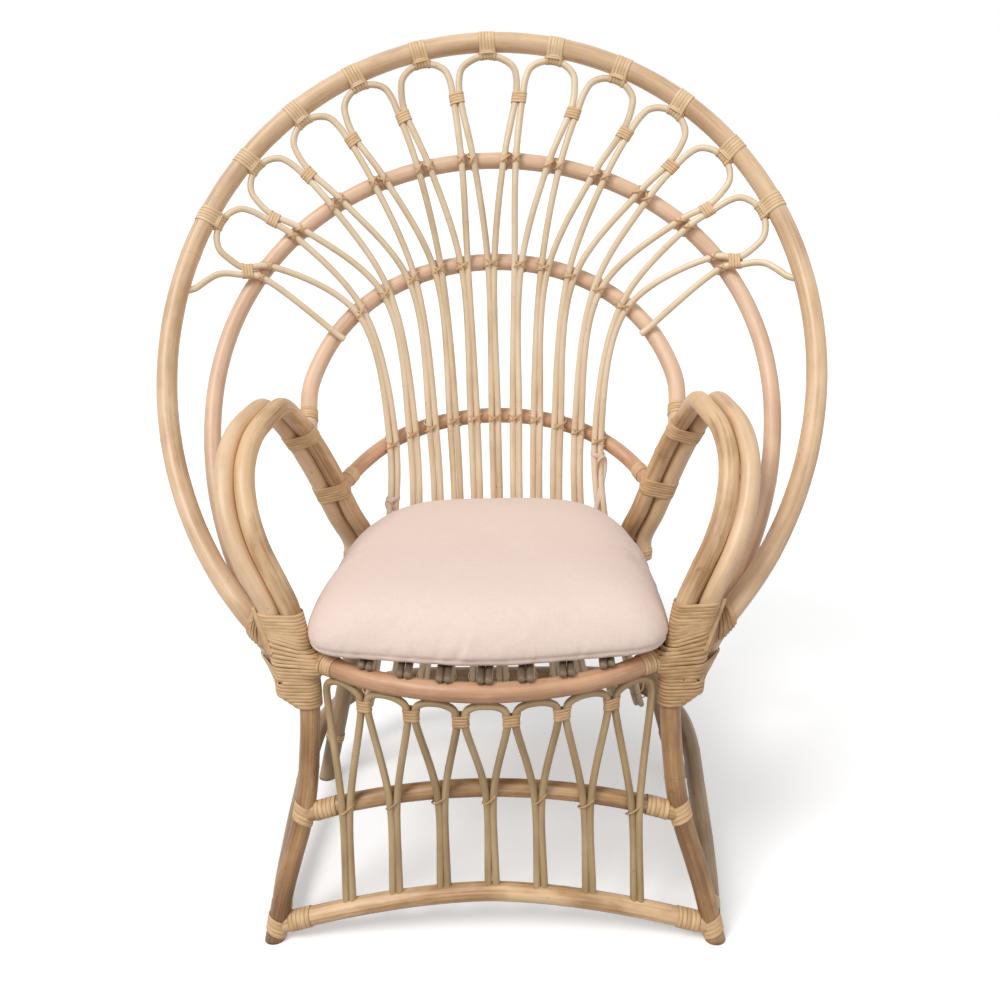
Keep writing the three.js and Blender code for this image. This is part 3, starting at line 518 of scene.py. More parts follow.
def mirror_names():
    """The left pole that mirrors each right one."""
    names = {f"{name}_right": f"{name}_left" for name in SIDE_POLES}
    for row in (BACK_LOOPS, APRON_LOOPS):
        middle = len(row) // 2
        names.update(zip(row[middle + 1 :], row[middle - 1 :: -1]))
    return names


poles = {}
mirrored_names = mirror_names()


def keep_pole(name, line, spacing=POLE_SPACING, start_sink=0.0, end_sink=0.0):
    """Keeps a pole under its name, and its mirror image under the other side's name."""
    centres, radius = line
    poles[name] = Pole(smooth_line(lengthened(centres, start_sink, end_sink), spacing), radius)
    if name in mirrored_names:
        poles[mirrored_names[name]] = poles[name].mirrored()


def read_all_poles():
    for name in WHOLE_HOOPS:
        keep_pole(name, read_pole(name, "middle"))
    for name in FITTED_POLES:
        keep_pole(name, read_pole(name, "middle"), POLE_SPACING, END_SINK, END_SINK)
    leg = on_floor(*read_pole("front_leg_and_arm_right", "low", FOOT_BLOCK / 2))
    keep_pole("front_leg_and_arm_right", leg)
    rear_leg = on_floor(*read_pole("rear_leg_right", "low", FOOT_BLOCK))
    keep_pole("rear_leg_right", rear_leg, end_sink=END_SINK)
    keep_pole("outer_arm_right", read_pole("outer_arm_right"))
    for name in BACK_LOOPS[LOOP_COUNT // 2 :]:
        keep_pole(name, read_pole(name), CANE_SPACING)
    keep_pole("back_half_loop_right", read_pole("back_half_loop_right"), CANE_SPACING, end_sink=END_SINK)
    between_rails = (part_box("front_mid_rail")[0].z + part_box("front_bottom_rail")[1].z) / 2
    for name in APRON_LOOPS[APRON_COUNT // 2 :]:
        start = ("low", between_rails) if name in mirrored_names else ("middle",)
        keep_pole(name, read_pole(name, *start), CANE_SPACING, END_SINK, END_SINK)


read_all_poles()

# Meshes: a part is one swept form, and a piece is one object made of one or more parts.
STEEP = 0.9
GRAIN_STRIDE = 3.7
CORNER_VALUES = {
    "grain": ("FLOAT_VECTOR", "vector"),
    "joint": ("FLOAT", "value"),
    "tone": ("FLOAT", "value"),
}
grain_start = {"next": 0.0}


def rolling_normals(points, tangents):
    """Side directions that turn as little as they can along a line."""
    reference = up if abs(tangents[0][2]) < STEEP else backward
    normals = [square_to(reference, tangents[0])]
    for tangent in tangents[1:]:
        normals.append(square_to(normals[-1], tangent))
    return np.array(normals)


def round_profile(sides):
    angle = np.linspace(0, 2 * math.pi, sides, endpoint=False)
    return np.stack((np.cos(angle), np.sin(angle)), axis=1)


def sweep(points, normals, profile, scales=1.0, joint=1.0, tone=0.5, closed=False):
    """A profile swept along a line. Its grain is where each corner lies in the straightened form."""
    count, around = len(points), len(profile)
    total = count * around
    tangents = unit(np.gradient(points, axis=0))
    if closed:
        tangents = unit(np.roll(points, -1, axis=0) - np.roll(points, 1, axis=0))
    normals = unit(normals - tangents * np.sum(normals * tangents, axis=1, keepdims=True))
    sides = np.cross(tangents, normals)
    scaled = profile[None] * np.broadcast_to(scales, count)[:, None, None]
    corners = points[:, None] + scaled[..., :1] * normals[:, None] + scaled[..., 1:] * sides[:, None]
    along = np.broadcast_to(lengths_along(points)[:, None, None], (count, around, 1))
    ring = np.arange(count if closed else count - 1)[:, None] * around
    here = ring + np.arange(around)
    beside = ring + np.roll(np.arange(around), -1)
    quads = np.stack((here, beside, (beside + around) % total, (here + around) % total), axis=-1)
    faces = quads.reshape(-1, 4).tolist()
    if not closed:
        faces.append(list(range(around - 1, -1, -1)))
        faces.append(list(range(total - around, total)))
    return {
        "corners": corners.reshape(-1, 3),
        "faces": faces,
        "grain": np.concatenate((scaled, along), axis=2).reshape(-1, 3),
        "joint": np.repeat(np.broadcast_to(joint, count), around),
        "tone": np.broadcast_to(tone, total),
    }


def mirrored_part(part):
    faces = [face[::-1] for face in part["faces"]]
    return {**part, "corners": part["corners"] * mirror, "faces": faces}


def piece(name, parts, finish, body=FRAME_BODY, replaces=()):
    """One object of the chair, in place, riding on its body, with its finish as its material."""
    corners = np.concatenate([part["corners"] for part in parts])
    starts = np.cumsum([0] + [len(part["corners"]) for part in parts]).tolist()
    faces = []
    for part, start in zip(parts, starts):
        faces += [[corner + start for corner in face] for face in part["faces"]]
    mesh = bpy.data.meshes.new(name)
    mesh.from_pydata(corners.tolist(), [], faces)
    for key, (kind, field) in CORNER_VALUES.items():
        values = np.concatenate([part[key] for part in parts])
        if key == "grain":
            values = values + (0, 0, grain_start["next"])
        mesh.attributes.new(key, kind, "POINT").data.foreach_set(field, values.ravel())
    grain_start["next"] += GRAIN_STRIDE
    mesh.shade_smooth()
    mesh.materials.append(FINISHES[finish])
    made = add_object(name, mesh)
    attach(made, body)
    if replaces:
        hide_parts(*replaces)


# Poles and canes.
POLE_ROUND = 24
CANE_ROUND = 12
JOINT_SPACING = (180 * mm, 330 * mm)
JOINT_RIDGE = 0.45 * mm
JOINT_WIDTH = 3 * mm
NO_JOINT = -1.0
WANDER = 0.25 * mm
WANDER_LENGTH = 60 * mm
END_ROUND = 2 * mm
END_SCALE = 0.82
TONE_SPREAD = (0.3, 0.7)
# Painted shade: the front leg is darker at its foot than at the arm, where less light falls on it low down:
# heights, and the tone at each.
LEG_PAINTED_SHADE_TONES = ((0.0, 0.38, 0.5, 0.7), (0.95, 0.85, 0.4, 0.14))


def joint_places(length):
    places = []
    at = chance.uniform(0, JOINT_SPACING[1])
    while at < length:
        places.append(at)
        at += chance.uniform(*JOINT_SPACING)
    return np.array(places or [NO_JOINT])


def with_ends(values, start, end):
    return np.concatenate((*start, values, end))


def pole_part(pole, sides, ridge=JOINT_RIDGE, wander=WANDER, flat_foot=False, tones=None):
    """A round pole with joints and a little unevenness, its ends rounded off."""
    distance = np.min(np.abs(pole.along[:, None] - joint_places(pole.along[-1])), axis=1)
    ridges = ridge * np.exp(-((distance / JOINT_WIDTH) ** 2))
    uneven = waves(pole.along / WANDER_LENGTH, chance.uniform(*SEEDS), 0)
    scales = pole.radius + ridges + wander * uneven
    normals = rolling_normals(pole.points, pole.tangents)
    joint = distance / (JOINT_WIDTH / 2)
    points = pole.points
    before = points[:1] - pole.tangents[:1] * END_ROUND
    after = points[-1:] + pole.tangents[-1:] * END_ROUND
    rounded = 0 if flat_foot else 1
    scales = with_ends(scales, (scales[:1] * END_SCALE,) * rounded, scales[-1:] * END_SCALE)
    points = with_ends(points, (before,) * rounded, after)
    normals = with_ends(normals, (normals[:1],) * rounded, normals[-1:])
    joint = with_ends(joint, (joint[:1],) * rounded, joint[-1:])
    tone = chance.uniform(*TONE_SPREAD)
    # Painted shade on the front leg: its tone follows the height, darker towards the foot.
    if tones:
        tone = np.repeat(np.interp(points[:, 2], *tones), sides)
    part = sweep(points, normals, round_profile(sides), scales, joint, tone)
    if flat_foot:
        foot = part["corners"][:sides]
        tangent = pole.tangents[0]
        foot -= np.outer(foot[:, 2] / tangent[2], tangent)
    return part


def make_pole(name, finish, **options):
    piece(name + "_pole", [pole_part(poles[name], POLE_ROUND, **options)], finish, replaces=[name])


def make_cane(name, finish):
    part = pole_part(poles[name], CANE_ROUND, JOINT_RIDGE / 2, WANDER / 2)
    piece(name + "_cane", [part], finish, replaces=[name])


make_pole("outer_hoop", "pole_golden")
make_pole("middle_hoop", "pole_pink")
make_pole("inner_hoop", "pole_pink")
make_pole("lower_back_rail", "pole_reddish")
for side in SIDES:
    # The front legs carry painted shade, darker towards the foot.
    make_pole(f"front_leg_and_arm_{side}", "pole_brown", flat_foot=True, tones=LEG_PAINTED_SHADE_TONES)
    make_pole(f"outer_arm_{side}", "pole_golden")
    # Painted shade: the rear legs take the darker, greyer rattan for the shade under the seat.
    make_pole(f"rear_leg_{side}", "pole_grey", flat_foot=True)
    make_cane(f"back_half_loop_{side}", "cane_cream")
make_pole("front_seat_rail", "pole_reddish")
# Painted shade: the seat ring and the base ring take the darker, greyer rattan for the shade under the seat.
make_pole("seat_ring", "pole_grey")
make_pole("front_mid_rail", "pole_brown")
make_pole("front_bottom_rail", "pole_brown")
make_pole("base_ring", "pole_grey")
for name in BACK_LOOPS:
    make_cane(name, "cane_cream")
for name in APRON_LOOPS:
    make_cane(name, "cane_green")

# Windings: a flat strand goes round the outline of the poles that it holds.
OUTLINE_STEPS = 64
TURN_STEPS = 36
STRAND_THICKNESS = 1.3 * mm
STRAND_PITCH = 5.0 * mm
STRAND_FILL = 1.04
STRAND_LIFT = 0.1 * mm
STRAND_JITTER = 0.3 * mm
JITTER_PACE = 1.3
STRAND_TUCK = 1.6 * mm
TUCK_SHARE = 0.12
STRAND_TONE = 0.4
TONE_RANGE = 0.12
LEAST_LEAN = 0.15
WRAP_REACH = 60 * mm
TIE_REACH = WRAP_REACH / 2
ROD_STEPS = 5
# Section of a strand, domed on both sides: shares of its thickness and of its width.
STRAND_SECTION = np.array(
    (
        (0.5, 0.0),
        (0.38, 0.33),
        (0.0, 0.5),
        (-0.38, 0.33),
        (-0.5, 0.0),
        (-0.38, -0.33),
        (0.0, -0.5),
        (0.38, -0.33),
    )
)


def flat_profile(width, thickness):
    return STRAND_SECTION * (thickness, width)


class Held:
    """A pole that a winding holds: its place and lean across the winding's axis at each level."""

    def __init__(self, pole, origin, axes, taper_to=None):
        axis, across, beside = axes
        level = (pole.points - origin) @ axis
        order = np.argsort(level)
        lean = pole.tangents @ axis
        lean = np.where(lean < 0, -1, 1) * np.maximum(np.abs(lean), LEAST_LEAN)
        places = [(pole.points - origin) @ side for side in (across, beside)]
        tilts = [(pole.tangents @ side) / lean for side in (across, beside)]
        self.level = level[order]
        self.values = np.stack((*places, *tilts), axis=1)[order]
        self.radius = pole.radius
        self.taper_to = taper_to

    def at(self, level):
        """Place, tilt and radius at each level. Past its end a tapered pole fades into another."""
        values = np.stack([np.interp(level, self.level, column) for column in self.values.T], axis=1)
        radius = np.full(len(level), self.radius)
        if self.taper_to:
            other, run = self.taper_to
            past = np.maximum(self.level[0] - level, level - self.level[-1])
            share = np.clip(past / run, 0, 1)[:, None]
            values = values + share * (other.at(level)[0] - values)
            radius = radius + share[:, 0] * (other.radius - radius)
        return values, radius


def outlines(held, level, clearance):
    """Points of the convex outline round the held poles at each level."""
    facing = round_profile(OUTLINE_STEPS)
    best_reach = np.full((len(level), OUTLINE_STEPS), -np.inf)
    best_point = np.zeros((len(level), OUTLINE_STEPS, 2))
    for pole in held:
        values, radius = pole.at(level)
        centre, tilt = values[:, None, :2], values[:, None, 2:]
        slant = np.sum(facing * tilt, axis=2, keepdims=True)
        stretch = np.sqrt(1 + slant**2)
        edge = radius[:, None, None] * (facing + tilt * slant) / stretch
        point = centre + edge + clearance * facing
        reach = np.sum(point * facing, axis=2)
        better = reach > best_reach
        best_reach = np.where(better, reach, best_reach)
        best_point = np.where(better[..., None], point, best_point)
    return best_point


def winding_axes(axis, start_side):
    """The direction that a winding climbs in, and two that are square to it."""
    axis = unit(axis)
    across = square_to(start_side, axis)
    return axis, across, np.cross(axis, across)


def strand_tone(tone):
    return min(1.0, max(0.0, tone + chance.uniform(-TONE_RANGE, TONE_RANGE)))


def wind(held, origin, axes, start, turns, pitch, lift=0.0, tone=STRAND_TONE, tilt=None):
    """One strand wound round poles, as a swept part. Its two ends are tucked in."""
    axis, across, beside = axes
    turn = np.arange(round(turns * TURN_STEPS) + 1) / TURN_STEPS
    level = start + pitch * turn
    points = outlines(held, level, STRAND_THICKNESS / 2 + STRAND_LIFT + lift)
    drift = STRAND_JITTER * waves(turn * JITTER_PACE, chance.uniform(*SEEDS), 0)
    tuck = STRAND_TUCK * np.maximum(0, 1 - np.minimum(turn, turns - turn) / TUCK_SHARE)
    places = []
    normals = []
    for k, outline in enumerate(points):
        ring = np.vstack((outline, outline[:1]))
        along = lengths_along(ring)
        at = (turn[k] % 1) * along[-1]
        u, v = (np.interp(at, along, column) for column in ring.T)
        angle = 2 * math.pi * np.interp(at, along, np.arange(OUTLINE_STEPS + 1)) / OUTLINE_STEPS
        outwards = math.cos(angle) * across + math.sin(angle) * beside
        climb = tilt(turn[k] / turns, v) if tilt else 0.0
        place = origin + u * across + v * beside + (level[k] + drift[k] + climb) * axis
        places.append(place - tuck[k] * outwards)
        normals.append(outwards)
    profile = flat_profile(pitch * STRAND_FILL, STRAND_THICKNESS)
    return sweep(np.array(places), np.array(normals), profile, tone=strand_tone(tone))


def near_part(pole, point, reach):
    """The stretch of a pole or loop round its nearest place to a point."""
    middle = pole.near(point)
    spacing = pole.along[-1] / (len(pole.points) - 1)
    count = round(reach / spacing)
    return pole.part(max(0, middle - count), middle + count + 1)


def closest(first, second):
    """Where two canes come closest: the middle between them, and their indices."""
    gaps = np.linalg.norm(first.points[:, None] - second.points[None], axis=2)
    i, j = np.unravel_index(np.argmin(gaps), gaps.shape)
    return (first.points[i] + second.points[j]) / 2, i, j


def rod(middle, direction, radius, half=WRAP_REACH):
    """A straight stand-in pole for something else that a strand goes round."""
    share = np.linspace(-half, half, ROD_STEPS)[:, None]
    return Pole(middle + share * direction, radius)


def wrap(held, at, axis, turns, pitch=STRAND_PITCH, side=backward, reach=WRAP_REACH, level=0.0, **look):
    """A strand wound evenly about one level of the poles near a point."""
    axes = winding_axes(axis, side)
    held = [Held(near_part(pole, at, reach), at, axes) for pole in held]
    return wind(held, at, axes, level - turns * pitch / 2, turns, pitch, **look)


# Bindings that hold each loop's crown against the outer hoop, each with a collar under it.
BINDING_TURNS = 5
BINDING_PITCH = 5.2 * mm
BINDING_TONE = 0.12
COLLAR_TURNS = 2
COLLAR_PITCH = 3.0 * mm
COLLAR_DROP = 2.5 * mm
COLLAR_HALF = 4.5 * mm
COLLAR_RADIUS = 8.6 * mm


def make_hoop_bindings():
    hoop = poles["outer_hoop"]
    collar = {"level": hoop.radius + COLLAR_DROP, "lift": STRAND_THICKNESS, "tone": BINDING_TONE}
    for number, loop_name in enumerate(BACK_LOOPS, 1):
        loop = poles[loop_name]
        _, i, j = closest(hoop, loop)
        centre, axis = hoop.points[i], hoop.tangents[i]
        inward = square_to(loop.points[j] - centre, axis)
        side = np.cross(axis, inward) * (1 if axis[0] > 0 else -1)
        look = {"side": side, "reach": TIE_REACH, "tone": BINDING_TONE}
        parts = [wrap([hoop, loop], centre, axis, BINDING_TURNS, BINDING_PITCH, **look)]
        rods = [rod(centre + place * axis, inward, COLLAR_RADIUS) for place in (-COLLAR_HALF, COLLAR_HALF)]
        parts.append(wrap(rods, centre, inward, COLLAR_TURNS, COLLAR_PITCH, side, **collar))
        name = f"hoop_binding_{number:02}"
        piece(name + "_strands", parts, "strand", replaces=[name])


# Short windings where the legs of neighbour loops lie side by side.
TIE_TURNS = 4
TIE_PITCH = 4.6 * mm
LOOP_TIE_TONE = 0.3
APRON_TIE_TONE = 0.72


def tie_pair(first, second, tone):
    middle, i, j = closest(first, second)
    direction, other = first.tangents[i], second.tangents[j]
    axis = unit(direction + (other if direction @ other > 0 else -other))
    return wrap([first, second], middle, axis, TIE_TURNS, TIE_PITCH, reach=TIE_REACH, tone=tone)


def legs_of(loop):
    middle = int(np.argmax(loop.points[:, 2]))
    return loop.part(0, middle + 1), loop.part(middle, len(loop.points))


def leg_on(side, name):
    """The left or right leg of a loop. A half loop has only one."""
    if "half" in name:
        return poles[name]
    legs = sorted(legs_of(poles[name]), key=lambda leg: leg.points[:, 0].mean())
    return legs[SIDES.index(side)]


def make_neighbour_ties(name, row, tone):
    pairs = zip(row, row[1:])
    parts = [tie_pair(leg_on("right", left), leg_on("left", right), tone) for left, right in pairs]
    piece(name, parts, "strand")


# Thin crossed ties that hold one or two canes against a pole.
LASH_WIDTH = 3.2 * mm
LASH_THICKNESS = 1.8 * mm
LASH_SPACING = 2.2 * mm
LEAN_SHARE = 0.55
CROSSED_TONE = 0.5
APRON_TIE = {"both": False, "lean_share": 0.7, "drop": 3 * mm, "tone": APRON_TIE_TONE}
RAIL_TIES = {
    "inner_hoop_ties": "inner_hoop",
    "lower_rail_ties": "lower_back_rail",
    "seat_ring_ties": "seat_ring",
    "base_ring_ties": "base_ring",
}


def lashing(centre, along, down, normal, pole_radius, half_width, cane_radius, lean, lift, drop, tone):
    """A closed strand: a slant over the canes' front and back round behind the pole."""
    t = LASH_THICKNESS / 2
    front = pole_radius + cane_radius
    wide = half_width + t
    # Shares of the sizes along the pole, up the canes and out from the pole's middle.
    places = [
        (-wide, -lean, front - 0.3 * cane_radius),
        (-0.55 * half_width, -0.5 * lean, front + cane_radius + t + lift),
        (0.55 * half_width, 0.5 * lean, front + cane_radius + t + lift),
        (wide, lean, front - 0.3 * cane_radius),
        (0.8 * wide, pole_radius * 0.85 + t, 0.55 * pole_radius),
        (0.4 * wide, pole_radius + t, -0.2 * pole_radius),
        (0.0, 0.0, -pole_radius - t),
        (-0.4 * wide, -pole_radius - t, -0.2 * pole_radius),
        (-0.8 * wide, -0.85 * pole_radius - t, 0.55 * pole_radius),
    ]
    controls = [centre + x * along - (y - drop) * down + z * normal for x, y, z in places]
    points = smooth_line(controls, LASH_SPACING, closed=True)[:-1]
    facing = unit(points - centre - front / 2 * normal)
    profile = flat_profile(LASH_WIDTH, LASH_THICKNESS)
    return sweep(points, facing, profile, tone=strand_tone(tone), closed=True)


def crossed_tie(pole, canes, both=True, lean_share=LEAN_SHARE, drop=0.0, tone=CROSSED_TONE):
    """Lashings of one cane, or of a pair, where they cross a pole."""
    hits = [closest(pole, cane)[1:] for cane in canes]
    pole_places = [pole.points[i] for i, _ in hits]
    cane_places = [cane.points[j] for cane, (_, j) in zip(canes, hits)]
    gaps = [np.linalg.norm(a - b) for a, b in zip(pole_places, cane_places)]
    if max(gaps) > pole.radius + 2 * canes[0].radius:
        return []
    centre = np.mean(pole_places, axis=0)
    tangent = pole.tangents[hits[0][0]]
    tangent = tangent if tangent[0] > 0 else -tangent
    down = canes[0].tangents[hits[0][1]]
    down = down if down[2] < 0 else -down
    normal = square_to(np.mean(cane_places, axis=0) - centre, tangent)
    along = square_to(square_to(tangent, down), normal)
    sizes = (pole.radius, canes[0].radius * len(canes), canes[0].radius, lean_share * pole.radius)
    if not both:
        return [lashing(centre, along, down, normal, *sizes, 0.0, drop, tone)]
    lifts = ((along, LASH_THICKNESS), (-along, 0.0))
    return [lashing(centre, way, down, normal, *sizes, lift, drop, tone) for way, lift in lifts]


def make_crossed_ties():
    hoop = poles["middle_hoop"]
    ties = {name: [] for name in ("middle_hoop_ties", *RAIL_TIES, "apron_rail_ties")}
    for loop in BACK_LOOPS:
        legs = legs_of(poles[loop])
        for leg in legs:
            ties["middle_hoop_ties"] += crossed_tie(hoop, [leg])
        for name, rail in RAIL_TIES.items():
            ties[name] += crossed_tie(poles[rail], legs)
    for side in SIDES:
        ties["middle_hoop_ties"] += crossed_tie(hoop, [poles[f"back_half_loop_{side}"]])
    for loop in APRON_LOOPS:
        legs = legs_of(poles[loop])
        ties["apron_rail_ties"] += crossed_tie(poles["front_mid_rail"], legs, **APRON_TIE)
    for name, parts in ties.items():
        piece(name, parts, "strand")


# Wraps on the right, mirrored to the left.
CLIMB = 0.22
WIDE_PITCH = 6.6 * mm
# Round the ends of rails: distance from the end, turns, pitch and tone.
RAIL_WRAPS = (
    ("front_seat_rail", 27 * mm, 5, STRAND_PITCH, 0.35),
    ("front_mid_rail", 28 * mm, 5, WIDE_PITCH, 0.45),
    ("front_bottom_rail", 26 * mm, 5, WIDE_PITCH, 0.4),
    ("inner_hoop", 27 * mm, 4, STRAND_PITCH, 0.4),
    ("lower_back_rail", 26 * mm, 4, STRAND_PITCH, 0.4),
    ("base_ring", 26 * mm, 4, STRAND_PITCH, 0.4),
)
# Round the leg, and round the leg and the arm beside it, where these rails meet them: turns.
LEG_WRAPS = {"front_mid_rail": 4, "front_bottom_rail": 4}
ARM_WRAPS = {"inner_hoop": 5, "lower_back_rail": 6}
LEG_WRAP_TONE = 0.5
FOOT_WRAP_TURNS = 3
FOOT_WRAP_LIFT = 0.2 * mm
REAR_TOP_TURNS = 4
REAR_TOP_DROP = 14 * mm
TAIL_TURNS = 2
TAIL_RISE = 14 * mm


def climbing(share, beside):
    """Turns that rise outwards."""
    return -CLIMB * beside


def place_along(pole, distance):
    """Point and direction a distance from a pole's right end, which is its last point."""
    i = int(np.searchsorted(pole.along, pole.along[-1] - distance))
    return pole.points[i], pole.tangents[i]


def make_end_wraps():
    """Wraps on the ends of rails, and where they meet a leg or an arm."""
    leg, arm, rear = (poles[f"{name}_right"] for name in ("front_leg_and_arm", "outer_arm", "rear_leg"))
    parts = []
    for name, distance, turns, pitch, tone in RAIL_WRAPS:
        place = place_along(poles[name], distance + END_SINK)
        parts.append(wrap([poles[name]], *place, turns, pitch, tone=tone))
    for name, turns in LEG_WRAPS.items():
        i = leg.near(poles[name].points[-1])
        look = {"tone": LEG_WRAP_TONE, "tilt": climbing}
        parts.append(wrap([leg], leg.points[i], leg.tangents[i], turns, WIDE_PITCH, **look))
    for name, turns in ARM_WRAPS.items():
        i = leg.near(poles[name].points[-1])
        parts.append(wrap([leg, arm], leg.points[i], leg.tangents[i], turns, side=-outward))
    ring_hit, i, _ = closest(rear, poles["base_ring"])
    parts.append(wrap([rear], ring_hit, rear.tangents[i], FOOT_WRAP_TURNS, lift=FOOT_WRAP_LIFT))
    parts.append(wrap([rear], *place_along(rear, REAR_TOP_DROP), REAR_TOP_TURNS))
    i = leg.near(leg.points[-1] + TAIL_RISE * up)
    parts.append(wrap([leg, arm], leg.points[i], leg.tangents[i], TAIL_TURNS, side=-outward))
    piece("right_wraps", parts, "strand")
    piece("left_wraps", [mirrored_part(part) for part in parts], "strand")


# Junctions: long windings round the leg, the arm, the seat rail's end and the two hoops.
JUNCTION_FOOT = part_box("junction_winding_right")[0].z
JUNCTION_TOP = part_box("junction_winding_right")[1].z
SPLIT_SHARE = 0.455
JUNCTION_SPLIT = JUNCTION_FOOT + SPLIT_SHARE * (JUNCTION_TOP - JUNCTION_FOOT)
JUNCTION_PITCH = 5.4 * mm
JUNCTION_REACH = 150 * mm
ARM_FRONT = np.array((0.3, -0.25, 0.6))
HOOP_TAPER = 40 * mm
ARM_TAPER = 22 * mm
RAIL_TAPER = 14 * mm
RAIL_END_INSET = 8 * mm
RAIL_HOLD = 10 * mm
UNDER_TONE = 0.6
RISING_MIDDLE = 0.4
RISING_SPREAD = 0.2
RISING_SLOPE = 0.3
# A band of strands is laid over the front, from the notch between arm and hoops to the outer hoop.
BAND_FACING = unit(np.array((0.25, -0.85, 0.45)))
BAND_STRANDS = 14
BAND_HIGH = 52 * mm
BAND_SINK = 10 * mm
BAND_PULL = 34 * mm
BAND_WIDTH = 7 * mm
BAND_LAYERS = (2.6, 3.1)
APEX_RISE = -8 * mm
APEX_SHARE = 0.34
APEX_SPREAD = 8 * mm
EDGE_INSET = 1 * mm
LAID_STEPS = 60
LAID_SPACING = 2.5 * mm
NAIL_RADIUS = 1.5 * mm
NAIL_DOME = 0.7
NAIL_RINGS = 4
NAIL_SIDES = 10
# The strands of a band that are nailed, and how far along each nail is.
BAND_NAILS = {3: 0.35, 6: 0.6, 9: 0.5, 12: 0.75}
# How much higher each winding ends than its solid, and its tone.
JUNCTIONS = (("right", 9 * mm, 0.72), ("left", 0.0, 0.4))


def rising(share, beside):
    """The middle upper turns climb outwards."""
    peak = math.exp(-(((share - RISING_MIDDLE) / RISING_SPREAD) ** 2))
    return -RISING_SLOPE * peak * beside


def surface_over(points, held, clearance):
    """How far out the poles reach, along the band's facing, over points in a plane square to it."""
    heights = []
    for pole in held:
        level = pole.points @ BAND_FACING
        flat = pole.points - np.outer(level, BAND_FACING)
        gaps = np.linalg.norm(points[:, None] - flat[None], axis=2)
        nearest = np.argmin(gaps, axis=1)
        gap = gaps[np.arange(len(points)), nearest]
        reach = pole.radius + clearance
        rise = np.sqrt(np.maximum(reach**2 - gap**2, 0))
        heights.append(np.where(gap < reach, level[nearest] + rise, -np.inf))
    return np.max(heights, axis=0)


def taut(heights, along):
    """The heights of a strand pulled tight over a surface."""
    hull = [0]
    for k in range(1, len(heights)):
        while len(hull) > 1:
            a, b = hull[-2:]
            slope = (heights[k] - heights[a]) / (along[k] - along[a])
            if heights[b] > heights[a] + slope * (along[b] - along[a]):
                break
            hull.pop()
        hull.append(k)
    return np.interp(along, along[hull], heights[hull])


def laid_strand(start, end, held, clearance, tone):
    """A flat strand from point to point, pulled tight over the front of poles, and its line."""
    line = start + np.linspace(0, 1, LAID_STEPS)[:, None] * (end - start)
    line = line - np.outer(line @ BAND_FACING, BAND_FACING)
    heights = surface_over(line, held, clearance)
    known = np.isfinite(heights)
    line, heights = line[known], heights[known]
    points = line + np.outer(taut(heights, lengths_along(line)), BAND_FACING)
    points = evenly(points, LAID_SPACING)
    normals = np.broadcast_to(BAND_FACING, points.shape)
    return sweep(points, normals, flat_profile(BAND_WIDTH, STRAND_THICKNESS), tone=strand_tone(tone)), points


def nail(place):
    """A small domed head on a strand of the band."""
    rings = np.linspace(0, math.pi / 2, NAIL_RINGS)
    spine = place + np.outer(NAIL_RADIUS * NAIL_DOME * np.sin(rings), BAND_FACING)
    sides = np.broadcast_to(square_to(backward, BAND_FACING), spine.shape)
    return sweep(spine, sides, round_profile(NAIL_SIDES), NAIL_RADIUS * np.cos(rings) + WELD)


def junction_windings(origin, leg, arm, hoops, top, tone):
    """Two layers round the leg, arm and rail, and two below that take in the hoops as well."""
    axes = winding_axes(up, backward)
    seat_rail = poles["front_seat_rail"]
    rail_end = rod(place_along(seat_rail, RAIL_END_INSET)[0], up, seat_rail.radius, RAIL_HOLD)
    whole = Held(leg, origin, axes)
    upper = [whole, Held(arm, origin, axes, (whole, ARM_TAPER))]
    upper.append(Held(rail_end, origin, axes, (whole, RAIL_TAPER)))
    lower = upper + [Held(hoop, origin, axes, (whole, HOOP_TAPER)) for hoop in hoops]
    half = JUNCTION_PITCH / 2
    parts = []
    for held, first, last, layer, shade, tilt in (
        (upper, JUNCTION_SPLIT, top, 0, UNDER_TONE, None),
        (upper, JUNCTION_SPLIT, top, 1, tone, rising),
        (lower, JUNCTION_FOOT + 2 * half, JUNCTION_SPLIT, 1, UNDER_TONE, None),
        (lower, JUNCTION_FOOT + half, JUNCTION_SPLIT + half, 2, tone, None),
    ):
        turns = (last - first) / JUNCTION_PITCH
        lift = STRAND_THICKNESS * layer
        parts.append(wind(held, origin, axes, first, turns, JUNCTION_PITCH, lift, shade, tilt))
    return parts


def junction_band(leg, arm, hoops, top, tone):
    """The strands laid over the front of a junction, and the nails in some of them."""
    apex_level = top + APEX_RISE
    notch = [pole.points[np.argmin(np.abs(pole.points[:, 2] - apex_level))] for pole in (arm, hoops[0])]
    apex = notch[0] + APEX_SHARE * (notch[1] - notch[0])
    hoop = hoops[1]
    edge = square_to(np.cross(hoop.tangents, BAND_FACING), BAND_FACING)
    edge = edge * np.where(edge[:, :1] > 0, 1, -1)
    outer_edge = hoop.points + (hoop.radius - EDGE_INSET) * edge
    strands = []
    nails = []
    for k in range(BAND_STRANDS):
        share = k / (BAND_STRANDS - 1)
        level = top - BAND_HIGH + share * (JUNCTION_SPLIT - top + BAND_HIGH - BAND_SINK)
        bottom = outer_edge[np.argmin(np.abs(outer_edge[:, 2] - level))]
        bottom = bottom - share**2 * BAND_PULL * outward
        start = apex + (1 - share) * APEX_SPREAD * outward
        clearance = STRAND_THICKNESS * BAND_LAYERS[k % 2]
        strand, line = laid_strand(start, bottom, [leg, arm, *hoops], clearance, tone)
        strands.append(strand)
        if k in BAND_NAILS:
            place = line[int(BAND_NAILS[k] * (len(line) - 1))]
            nails.append(nail(place + STRAND_THICKNESS / 2 * BAND_FACING))
    return strands, nails


